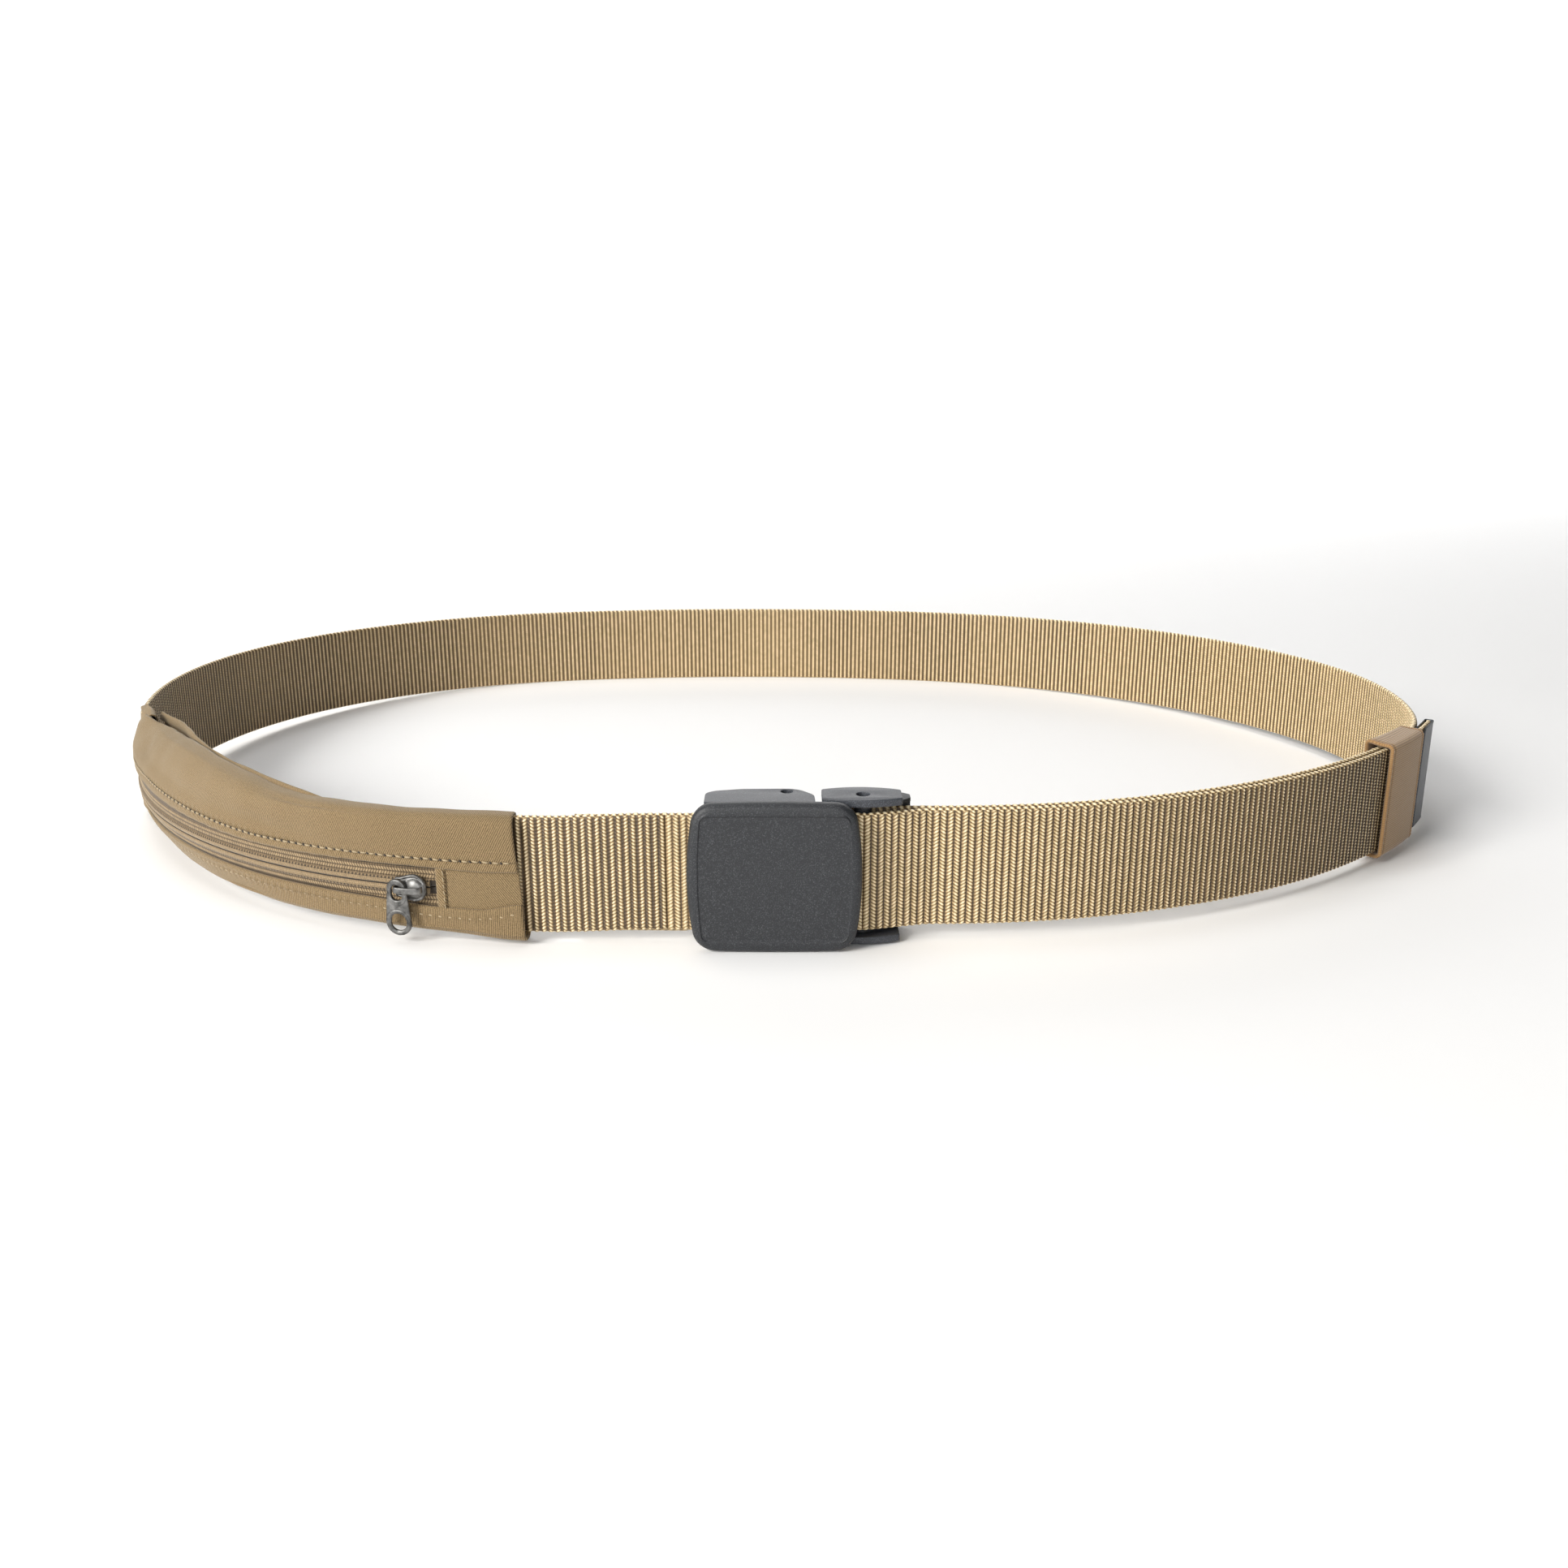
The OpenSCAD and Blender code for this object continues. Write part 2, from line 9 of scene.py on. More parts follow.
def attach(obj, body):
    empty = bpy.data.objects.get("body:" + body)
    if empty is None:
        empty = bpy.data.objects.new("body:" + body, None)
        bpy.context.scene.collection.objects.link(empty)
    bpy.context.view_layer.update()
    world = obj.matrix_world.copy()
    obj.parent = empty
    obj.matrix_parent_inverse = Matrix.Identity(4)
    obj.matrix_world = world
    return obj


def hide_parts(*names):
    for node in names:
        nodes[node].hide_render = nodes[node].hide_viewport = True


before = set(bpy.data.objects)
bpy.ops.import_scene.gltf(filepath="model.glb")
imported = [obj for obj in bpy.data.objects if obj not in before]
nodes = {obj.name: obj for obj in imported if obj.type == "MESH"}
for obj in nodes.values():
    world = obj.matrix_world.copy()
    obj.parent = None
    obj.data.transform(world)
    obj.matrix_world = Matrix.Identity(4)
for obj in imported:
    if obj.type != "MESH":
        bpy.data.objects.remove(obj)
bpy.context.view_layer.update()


RNG = np.random.RandomState(7)

# ------------------------------------------------------------------ plan of the belt (mm)
WEB_W, WEB_T, WEB_Z, TAIL_GAP = 30.0, 1.6, 3.5, 2.2
PLATE_W, PLATE_H, PLATE_Y0, PLATE_T = 42.2, 38.0, -7.0, 3.2
BAR, LATCH, ADJ = (-15.0, 2.1), (3.0, 5.0), (21.4, 2.8)


def sd(a): return np.sin(np.radians(a))
def cd(a): return np.cos(np.radians(a))


def arc_of(x, y, h, r, a): return (x - r * sd(h), y + r * cd(h), r, h, h + a)
def end_of(c): return (c[0] + c[2] * sd(c[4]), c[1] - c[2] * cd(c[4]))


R1 = arc_of(39.6, 5.8, 0, 182, 52)
R2 = arc_of(*end_of(R1), R1[4], 58, 20.7)
R3 = arc_of(*end_of(R2), R2[4], 129, 38.3)
DEPTH, BH = 289, 9.8
_r4 = (DEPTH - end_of(R3)[1]) / (cd(R3[4]) + cd(BH))
R4 = arc_of(*end_of(R3), R3[4], _r4, 180 - BH - R3[4])
L1 = arc_of(26.4, 0, 0, 560, 3.8)
PDEG = 72                       # how far the pocket runs along its arc, at the bottom
L2 = arc_of(*end_of(L1), L1[4], 148.5, 79)
_l3 = (DEPTH - end_of(L2)[1]) / (cd(L2[4]) + cd(BH))
L3 = arc_of(*end_of(L2), L2[4], _l3, 180 - BH - L2[4])
_gap = end_of(R4)[0] + end_of(L3)[0]
BACK_R = _gap / (2 * sd(BH))
BACK_C = ((end_of(R4)[0] - end_of(L3)[0]) / 2, DEPTH - BACK_R * cd(BH))
X_HI = R3[0] + R3[2] + 0.8
X_LO = -(L3[0] + L3[2] + 0.8)
Y_HI = BACK_C[1] + BACK_R + 0.8
ORG = ((X_HI + X_LO) / 2, (Y_HI + PLATE_Y0) / 2)


def row(x, y, z):
    """buckle frame in mm -> row frame in metres, for arrays"""
    x, y, z = np.broadcast_arrays(np.asarray(x, float), np.asarray(y, float), np.asarray(z, float))
    return np.stack([(x - ORG[0]) / 1000, (y - ORG[1]) / 1000, z / 1000], -1)


def arc_len(c): return c[2] * radians(c[4] - c[3])


class Path:
    """Plan curve by arc length: centre points and outward normals."""

    def __init__(self, segs):
        self.segs, self.at = segs, [0.0]
        for g in segs:
            n = hypot(g[3] - g[1], g[4] - g[2]) if g[0] == "line" else arc_len(g[1])
            self.at.append(self.at[-1] + float(n))
        self.length = self.at[-1]

    def __call__(self, s):
        s = np.asarray(s, float)
        out = np.zeros(s.shape + (4,))
        for i, g in enumerate(self.segs):
            lo, hi = self.at[i], self.at[i + 1]
            m = (s >= lo - 1e-9 if i else s > -1e9) & (s < hi if i < len(self.segs) - 1 else s < 1e9)
            u = (s[m] - lo) / (hi - lo)
            if g[0] == "line":
                _, x0, y0, x1, y1 = g
                n = hypot(x1 - x0, y1 - y0)
                out[m] = np.stack([x0 + (x1 - x0) * u, y0 + (y1 - y0) * u,
                                   np.full(u.shape, (y1 - y0) / n), np.full(u.shape, -(x1 - x0) / n)], -1)
            else:
                c, off = g[1], g[2]
                kind = g[0]
                h = c[3] + (c[4] - c[3]) * (1 - u if kind == "left" else u)
                x, y = c[0] + (c[2] + off) * sd(h), c[1] - (c[2] + off) * cd(h)
                nx, ny = sd(h), -cd(h)
                if kind == "left":
                    x, nx = -x, -nx
                out[m] = np.stack([x, y, nx, ny], -1)
        return out


BACK = (BACK_C[0], BACK_C[1], BACK_R, 180 - BH, 180 + BH)
MAIN = Path([("right", R1, 0), ("right", R2, 0), ("right", R3, 0), ("right", R4, 0), ("right", BACK, 0),
             ("left", L3, 0), ("left", L2, 0), ("left", L1, 0)])
A = MAIN.at


def ease(u):
    u = np.clip(u, 0, 1)
    return u * u * (3 - 2 * u)


def main_z(s):
    """height of the main strap's lower edge"""
    s = np.asarray(s, float)
    down = ease((s - A[2]) / (A[4] - A[2]))
    up = ease((s - A[5]) / (A[6] - A[5]))
    return WEB_Z * (1 - down + up)


# ------------------------------------------------------------------ meshes
def hash01(a, b=0):
    v = np.sin(np.asarray(a, float) * 127.1 + np.asarray(b, float) * 311.7) * 43758.5453
    return v - np.floor(v)


def mesh_of(name, verts, quads, ngons=(), attrs=None, mats=(), flip_check=True, smooth=True, extra_tris=None):
    verts = np.asarray(verts, float).reshape(-1, 3)
    quads = np.asarray(quads, int).reshape(-1, 4)
    vol = 0.0
    if flip_check and len(quads):
        a, b, c, d = (verts[quads[:, i]] for i in range(4))
        vol = np.einsum("ij,ij->i", a, np.cross(b, c)).sum() + np.einsum("ij,ij->i", a, np.cross(c, d)).sum()
    if vol < 0:
        quads = quads[:, ::-1]
        ngons = [list(g)[::-1] for g in ngons]
    me = bpy.data.meshes.new(name)
    me.vertices.add(len(verts))
    me.vertices.foreach_set("co", verts.astype(np.float32).ravel())
    loops = [quads.ravel()] + [np.asarray(g, int) for g in ngons]
    sizes = [4] * len(quads) + [len(g) for g in ngons]
    idx = np.concatenate(loops) if loops else np.zeros(0, int)
    me.loops.add(len(idx))
    me.loops.foreach_set("vertex_index", idx.astype(np.int32))
    me.polygons.add(len(sizes))
    starts = np.concatenate([[0], np.cumsum(sizes)[:-1]]).astype(np.int32)
    me.polygons.foreach_set("loop_start", starts)
    me.update(calc_edges=True)
    me.validate()
    if smooth:
        me.shade_smooth()
    for k, v in (attrs or {}).items():
        at = me.attributes.new(k, "FLOAT_VECTOR", "POINT")
        at.data.foreach_set("vector", np.asarray(v, np.float32).ravel())
    ob = bpy.data.objects.new(name, me)
    bpy.context.scene.collection.objects.link(ob)
    for m in mats:
        me.materials.append(m)
    return ob


def tube_grid(name, V, attrs=None, mats=(), cap="ngon"):
    """V is (ns, nu, 3), closed along u and capped at both ends of s."""
    ns, nu = V.shape[:2]
    i, j = np.meshgrid(np.arange(ns - 1), np.arange(nu), indexing="ij")
    k = (j + 1) % nu
    q = np.stack([i * nu + j, i * nu + k, (i + 1) * nu + k, (i + 1) * nu + j], -1).reshape(-1, 4)
    ngons = []
    if cap == "ngon":
        ngons = [list(range(nu))[::-1], list((ns - 1) * nu + np.arange(nu))]
    elif cap == "strip":
        h = nu // 2
        t = np.arange(h - 1)
        c0 = np.stack([t, nu - 1 - t, nu - 2 - t, t + 1], -1)
        c1 = (ns - 1) * nu + c0[:, ::-1]
        q = np.concatenate([q, c0, c1])
    return mesh_of(name, V.reshape(-1, 3), q, ngons, attrs, mats)


def spline(P, K):
    """Catmull-Rom through control values P (n, ...) sampled at K points."""
    P = np.asarray(P, float)
    n = len(P)
    t = np.linspace(0, n - 1, K)
    i = np.clip(np.floor(t).astype(int), 0, n - 2)
    f = (t - i).reshape((-1,) + (1,) * (P.ndim - 1))
    p0, p1, p2, p3 = P[np.clip(i - 1, 0, n - 1)], P[i], P[i + 1], P[np.clip(i + 2, 0, n - 1)]
    return 0.5 * (2 * p1 + (p2 - p0) * f + (2 * p0 - 5 * p1 + 4 * p2 - p3) * f ** 2 + (3 * p1 - p0 - 3 * p2 + p3) * f ** 3)


def cloud(s, z, seed, n=7, lo=14.0, hi=60.0):
    """smooth seeded undulation in mm coordinates, about -1..1"""
    r = np.random.RandomState(seed)
    v = 0
    for _ in range(n):
        wl = r.uniform(lo, hi)
        th = r.uniform(-0.9, 0.9)
        v = v + np.sin(2 * pi * (s * cos(th) + z * sin(th)) / wl + r.uniform(0, 2 * pi))
    return v / (n ** 0.5 * 1.3)


def join_verts(parts):
    """parts: list of (verts, quads) -> one pair"""
    vs, qs, n = [], [], 0
    for v, q in parts:
        vs.append(np.asarray(v).reshape(-1, 3))
        qs.append(np.asarray(q) + n)
        n += len(vs[-1])
    return np.concatenate(vs), np.concatenate(qs)


# ------------------------------------------------------------------ materials
def socket(nt, s, v):
    if isinstance(v, bpy.types.NodeSocket):
        nt.links.new(v, s)
    elif v is not None:
        s.default_value = v


def node(nt, kind, ins=None, **props):
    n = nt.nodes.new(kind)
    for k, v in props.items():
        setattr(n, k, v)
    for k, v in (ins or {}).items():
        socket(nt, n.inputs[k], v)
    return n


def op(nt, what, a, b=None, c=None, clamp=False):
    n = node(nt, "ShaderNodeMath", operation=what, use_clamp=clamp)
    for i, v in enumerate((a, b, c)):
        if v is not None:
            socket(nt, n.inputs[i], v)
    return n.outputs[0]


def mixc(nt, fac, a, b, blend="MIX"):
    n = node(nt, "ShaderNodeMix", data_type="RGBA", blend_type=blend, clamp_factor=True)
    socket(nt, n.inputs[0], fac)
    for i, v in ((6, a), (7, b)):
        if isinstance(v, (tuple, list)) and len(v) == 3:
            v = (*v, 1)
        socket(nt, n.inputs[i], v)
    return n.outputs[2]


def ramp(nt, fac, stops):
    n = node(nt, "ShaderNodeValToRGB", {"Fac": fac})
    el = n.color_ramp.elements
    while len(el) < len(stops):
        el.new(0.5)
    for e, (p, c) in zip(el, stops):
        e.position = p
        e.color = (*c, 1) if len(c) == 3 else c
    return n.outputs["Color"]


def material(name, rough=0.6, metallic=0.0, spec=0.5, sheen=0.0, sheen_rough=0.5, coat=0.0):
    m = bpy.data.materials.new(name)
    m.use_nodes = True
    nt = m.node_tree
    b = next(n for n in nt.nodes if n.type == "BSDF_PRINCIPLED")
    b.inputs["Roughness"].default_value = rough
    b.inputs["Metallic"].default_value = metallic
    b.inputs["Specular IOR Level"].default_value = spec
    b.inputs["Sheen Weight"].default_value = sheen
    b.inputs["Sheen Roughness"].default_value = sheen_rough
    b.inputs["Coat Weight"].default_value = coat
    return m, nt, b


def attr(nt, name):
    return node(nt, "ShaderNodeAttribute", attribute_name=name).outputs["Vector"]


def xyz(nt, v):
    n = node(nt, "ShaderNodeSeparateXYZ", {"Vector": v})
    return n.outputs[0], n.outputs[1], n.outputs[2]


def noise(nt, vec, scale, detail=2.0, rough=0.5, dist=0.0):
    return node(nt, "ShaderNodeTexNoise", {"Vector": vec, "Scale": scale, "Detail": detail, "Roughness": rough,
                                           "Distortion": dist}).outputs[0]


def objco(nt):
    return node(nt, "ShaderNodeTexCoord").outputs["Object"]


def mat_webbing(name, bright=1.0):
    m, nt, b = material(name, 0.42, spec=0.55, sheen=0.10, sheen_rough=0.4)
    b.inputs["Sheen Tint"].default_value = (1.0, 0.9, 0.7, 1)
    h, var, _ = xyz(nt, attr(nt, "wv"))
    sc = attr(nt, "sc")
    fib = noise(nt, sc, 5.5, 3, 0.65)
    fine = noise(nt, sc, 16, 2, 0.6)
    k = bright
    # painted shade: the ramp's near-black low end darkens the weave's valleys, the gaps between strands and between the
    # selvedge loops; the high end is the yarn's colour
    base = ramp(nt, op(nt, "ADD", h, op(nt, "MULTIPLY", op(nt, "SUBTRACT", fib, 0.5), 0.28)),
                [(0.0, (0.026 * k, 0.014 * k, 0.005 * k)), (0.26, (0.150 * k, 0.090 * k, 0.036 * k)),
                 (0.50, (0.56 * k, 0.405 * k, 0.205 * k)), (0.85, (1.0 * k, 0.86 * k, 0.60 * k))])
    tone = op(nt, "ADD", 0.86, op(nt, "MULTIPLY", var, 0.24))
    t3 = node(nt, "ShaderNodeCombineXYZ", {0: tone, 1: tone, 2: op(nt, "MULTIPLY", tone, op(nt, "ADD", 0.94, op(nt, "MULTIPLY", var, 0.08)))}).outputs[0]
    col = mixc(nt, 1.0, base, t3, "MULTIPLY")
    nt.links.new(col, b.inputs["Base Color"])
    nt.links.new(op(nt, "ADD", 0.34, op(nt, "MULTIPLY", fine, 0.24)), b.inputs["Roughness"])
    bump = node(nt, "ShaderNodeBump", {"Height": op(nt, "ADD", op(nt, "MULTIPLY", fib, 0.7), op(nt, "MULTIPLY", fine, 0.4)),
                                       "Strength": 0.55, "Distance": 0.00012})
    nt.links.new(bump.outputs[0], b.inputs["Normal"])
    return m


def mat_twill(name, slant=60.0, pitch=0.42, tint=(1, 1, 1), contrast=1.25):
    """fine diagonal twill; slant in degrees from the belt's direction"""
    m, nt, b = material(name, 0.82, spec=0.3, sheen=0.35, sheen_rough=0.45)
    b.inputs["Sheen Tint"].default_value = (1.0, 0.93, 0.8, 1)
    sc = attr(nt, "sc")
    x, z, _ = xyz(nt, sc)
    wob = noise(nt, sc, 0.35, 2)
    dx, dz = sin(radians(slant)) / pitch, -cos(radians(slant)) / pitch
    u = op(nt, "ADD", op(nt, "ADD", op(nt, "MULTIPLY", x, dx), op(nt, "MULTIPLY", z, dz)), op(nt, "MULTIPLY", wob, 0.8))
    line = op(nt, "ADD", 0.5, op(nt, "MULTIPLY", op(nt, "SINE", op(nt, "MULTIPLY", u, 2 * pi)), 0.5))
    v = op(nt, "ADD", op(nt, "MULTIPLY", x, cos(radians(slant)) / 0.55), op(nt, "MULTIPLY", z, sin(radians(slant)) / 0.55))
    brk = op(nt, "ADD", 0.5, op(nt, "MULTIPLY", op(nt, "SINE", op(nt, "MULTIPLY", op(nt, "ADD", v, op(nt, "MULTIPLY", u, 0.5)), 2 * pi)), 0.5))
    hgt = op(nt, "ADD", op(nt, "MULTIPLY", line, 0.87), op(nt, "MULTIPLY", brk, 0.13))
    fine = noise(nt, sc, 7, 3, 0.6)
    big = noise(nt, sc, 0.06, 3, 0.5)
    grain = noise(nt, sc, 2.3, 2, 0.75)
    # painted shade: lo darkens the gaps between the twill's ridges; hi is the yarn's colour
    lo = tuple(c * t for c, t in zip((0.088, 0.056, 0.024), tint))
    hi = tuple(c * t for c, t in zip((0.318, 0.221, 0.110), tint))
    f = op(nt, "ADD", 0.5, op(nt, "MULTIPLY", op(nt, "SUBTRACT", hgt, 0.5), 0.85 * contrast))
    f = op(nt, "ADD", f, op(nt, "MULTIPLY", op(nt, "SUBTRACT", fine, 0.5), 0.6))
    f = op(nt, "ADD", f, op(nt, "MULTIPLY", op(nt, "SUBTRACT", grain, 0.5), 1.5), clamp=True)
    col = mixc(nt, f, lo, hi)
    col = mixc(nt, op(nt, "MULTIPLY", op(nt, "SUBTRACT", big, 0.35), 0.55, clamp=True), col, (0.24, 0.170, 0.088))
    # painted shade: folds and stitch rows darkened from the sheet's first attribute
    crease_shade = xyz(nt, attr(nt, "wv"))[0]
    col = mixc(nt, crease_shade, col, tuple(c * 0.55 for c in lo))
    nt.links.new(col, b.inputs["Base Color"])
    nt.links.new(op(nt, "ADD", 0.72, op(nt, "MULTIPLY", fine, 0.2)), b.inputs["Roughness"])
    bump = node(nt, "ShaderNodeBump", {"Height": op(nt, "ADD", op(nt, "ADD", hgt, op(nt, "MULTIPLY", grain, 1.2)), op(nt, "MULTIPLY", fine, 0.6)), "Strength": 0.8, "Distance": 0.00010})
    nt.links.new(bump.outputs[0], b.inputs["Normal"])
    return m


def mat_zip(name):
    m, nt, b = material(name, 0.7, spec=0.35, sheen=0.25)
    h, var, dark = xyz(nt, attr(nt, "wv"))
    sc = attr(nt, "sc")
    fine = noise(nt, sc, 9, 3, 0.6)
    # painted shade: the ramp's dark low end darkens the valleys of the tape's weave
    col = ramp(nt, op(nt, "ADD", h, op(nt, "MULTIPLY", op(nt, "SUBTRACT", fine, 0.5), 0.5)),
               [(0.0, (0.018, 0.011, 0.005)), (0.38, (0.135, 0.088, 0.042)), (1.0, (0.43, 0.315, 0.175))])
    tone = op(nt, "ADD", 0.85, op(nt, "MULTIPLY", var, 0.26))
    t3 = node(nt, "ShaderNodeCombineXYZ", {0: tone, 1: tone, 2: tone}).outputs[0]
    col = mixc(nt, 1.0, col, t3, "MULTIPLY")
    nt.links.new(col, b.inputs["Base Color"])
    nt.links.new(op(nt, "ADD", 0.55, op(nt, "MULTIPLY", fine, 0.25)), b.inputs["Roughness"])
    bump = node(nt, "ShaderNodeBump", {"Height": fine, "Strength": 0.5, "Distance": 0.00008})
    nt.links.new(bump.outputs[0], b.inputs["Normal"])
    return m


def mat_thread(name, c=(0.56, 0.45, 0.27)):
    m, nt, b = material(name, 0.5, spec=0.5, sheen=0.2)
    sc = objco(nt)
    f = noise(nt, sc, 2600, 2)
    g = noise(nt, sc, 500, 2)
    col = mixc(nt, f, tuple(x * 0.55 for x in c), tuple(min(1, x * 1.25) for x in c))
    col = mixc(nt, op(nt, "MULTIPLY", g, 0.35), col, tuple(x * 0.7 for x in c))
    nt.links.new(col, b.inputs["Base Color"])
    nt.links.new(op(nt, "ADD", 0.4, op(nt, "MULTIPLY", f, 0.3)), b.inputs["Roughness"])
    bump = node(nt, "ShaderNodeBump", {"Height": f, "Strength": 0.5, "Distance": 0.00006})
    nt.links.new(bump.outputs[0], b.inputs["Normal"])
    return m


def mat_elastic(name):
    m, nt, b = material(name, 0.75, spec=0.35, sheen=0.3)
    h, var, edge = xyz(nt, attr(nt, "wv"))
    sc = attr(nt, "sc")
    fine = noise(nt, sc, 6, 3, 0.6)
    streak = noise(nt, node(nt, "ShaderNodeMapping", {"Vector": sc, "Scale": (1.2, 9, 1)}).outputs[0], 1.0, 3, 0.6)
    # painted shade: the ramp's dark low end darkens the valleys between the elastic's ribs
    col = ramp(nt, op(nt, "ADD", h, op(nt, "MULTIPLY", op(nt, "SUBTRACT", fine, 0.5), 0.45)),
               [(0.0, (0.060, 0.031, 0.011)), (0.4, (0.235, 0.132, 0.050)), (1.0, (0.50, 0.32, 0.140))])
    col = mixc(nt, edge, col, (0.33, 0.165, 0.05))
    col = mixc(nt, op(nt, "MULTIPLY", streak, 0.4), col, (0.20, 0.125, 0.06))
    nt.links.new(col, b.inputs["Base Color"])
    nt.links.new(op(nt, "ADD", 0.6, op(nt, "MULTIPLY", fine, 0.25)), b.inputs["Roughness"])
    bump = node(nt, "ShaderNodeBump", {"Height": fine, "Strength": 0.6, "Distance": 0.0001})
    nt.links.new(bump.outputs[0], b.inputs["Normal"])
    return m


def mat_plastic(name, c=(0.0135, 0.0148, 0.0175), rough=0.5, grain=0.00007, strength=0.8):
    m, nt, b = material(name, rough, spec=0.5)
    sc = objco(nt)
    g1 = noise(nt, sc, 3900, 2, 0.7)
    g2 = noise(nt, sc, 1700, 3, 0.6)
    spk = node(nt, "ShaderNodeTexVoronoi", {"Vector": sc, "Scale": 4600.0}, feature="F1").outputs["Distance"]
    big = noise(nt, sc, 60, 3, 0.5)
    f = op(nt, "MULTIPLY", op(nt, "ADD", g1, g2), 0.5)
    hi = node(nt, "ShaderNodeMapRange", {"Value": g1, "From Min": 0.52, "From Max": 0.78, "To Min": 0.0, "To Max": 1.0}).outputs[0]
    col = mixc(nt, f, tuple(x * 0.72 for x in c), tuple(x * 1.3 for x in c))
    col = mixc(nt, op(nt, "MULTIPLY", hi, 0.9), col, tuple(min(1, x * 3.6 + 0.06) for x in c))
    col = mixc(nt, op(nt, "MULTIPLY", big, 0.25), col, tuple(x * 1.5 for x in c))
    nt.links.new(col, b.inputs["Base Color"])
    nt.links.new(op(nt, "ADD", rough - 0.1, op(nt, "MULTIPLY", f, 0.22)), b.inputs["Roughness"])
    hgt = op(nt, "SUBTRACT", op(nt, "ADD", op(nt, "MULTIPLY", g1, 0.8), op(nt, "MULTIPLY", g2, 0.7)), op(nt, "MULTIPLY", spk, 0.35))
    bump = node(nt, "ShaderNodeBump", {"Height": hgt, "Strength": strength, "Distance": grain})
    nt.links.new(bump.outputs[0], b.inputs["Normal"])
    return m


def mat_metal(name, c=(0.42, 0.42, 0.41), rough=0.34, dark=0.5, scale=420, stretch=(1, 1, 1), metallic=1.0):
    m, nt, b = material(name, rough, metallic=metallic, spec=0.5)
    sc = node(nt, "ShaderNodeMapping", {"Vector": objco(nt), "Scale": stretch}).outputs[0]
    g = noise(nt, sc, scale, 4, 0.65)
    f = noise(nt, sc, scale * 6, 3, 0.6)
    wear = node(nt, "ShaderNodeMapRange", {"Value": g, "From Min": 0.35, "From Max": 0.68, "To Min": 0.0, "To Max": 1.0}).outputs[0]
    col = mixc(nt, wear, tuple(x * dark for x in c), tuple(min(1, x * 1.2) for x in c))
    nt.links.new(col, b.inputs["Base Color"])
    nt.links.new(op(nt, "ADD", rough - 0.1, op(nt, "ADD", op(nt, "MULTIPLY", g, 0.16), op(nt, "MULTIPLY", f, 0.12))), b.inputs["Roughness"])
    bump = node(nt, "ShaderNodeBump", {"Height": op(nt, "ADD", g, op(nt, "MULTIPLY", f, 0.4)), "Strength": 0.25, "Distance": 0.00006})
    nt.links.new(bump.outputs[0], b.inputs["Normal"])
    return m


WEB = mat_webbing("webbing")
TWILL_UP = mat_twill("twill_upper", 62, 0.45)
TWILL_LOW = mat_twill("twill_lower", 96, 0.42)
TWILL_END = mat_twill("twill_end", 122, 0.45, contrast=1.25)
TWILL_IN = mat_twill("twill_inner", 62, 0.45, tint=(1.04, 1.04, 1.04), contrast=0.6)
ZIP = mat_zip("zip_tape")
THREAD = mat_thread("thread", (0.40, 0.305, 0.175))
# near-black thread colour for the beads at the needle holes: painted shade
NEEDLE_HOLE_SHADE = mat_thread("needle_hole_shade", (0.035, 0.024, 0.013))
THREAD_DARK = mat_thread("thread_shaded", (0.30, 0.22, 0.12))
ELASTIC = mat_elastic("elastic")
PLASTIC = mat_plastic("buckle_plastic")
# a smoother, lighter copy of the buckle plastic for the cheeks and ears; the smoother grain is real, the lighter colour
# is painted light standing in for their lit top faces
PLASTIC_LIT = mat_plastic("buckle_plastic_smooth_painted_light", (0.030, 0.033, 0.040), 0.44, 0.00004, 0.6)
NICKEL = mat_metal("antique_nickel", (0.235, 0.232, 0.225), 0.44, dark=0.35)
STEEL = mat_metal("drawn_steel", (0.45, 0.45, 0.46), 0.28, 0.7, 300, (1, 1, 0.08))
TIP = mat_metal("dark_lacquer", (0.075, 0.08, 0.088), 0.38, 0.65, 350, (1, 1, 1), metallic=0.75)


# ------------------------------------------------------------------ webbing
RIB, ROWP = 1.75, 0.89


def weave(s, z):
    """height 0..1 of the ribbed herringbone face, and a value per strand"""
    c = s / RIB
    col = np.floor(c)
    fx = c - col
    sg = np.where(np.mod(col, 2) < 0.5, 1.0, -1.0)
    prof = np.clip(1 - np.abs(2 * fx - 1) ** 2.6, 0, 1)
    ph = z / ROWP - sg * 0.62 * (2 * fx - 1) + 0.35 * hash01(col, 3)
    r = np.floor(ph)
    fr = ph - r
    st = 0.5 - 0.5 * np.cos(2 * pi * fr)
    h = prof * (0.28 + 0.72 * st ** 0.8)
    # every second valley is the deeper one
    h = h * (1 - 0.25 * np.exp(-(np.minimum(fx, 1 - fx) / 0.16) ** 2) * (sg * (0.5 - fx) > 0))
    return h, hash01(col, r)


def flank_shade(s, side, k=0.62):
    """painted shade on one side of each rib, for the side turned from the light: side 0 the start's, side 1 the end's
    """
    f = s / RIB - np.floor(s / RIB)
    f = f if side == 0 else 1 - f
    return 1 - k * ease((0.56 - f) / 0.22)


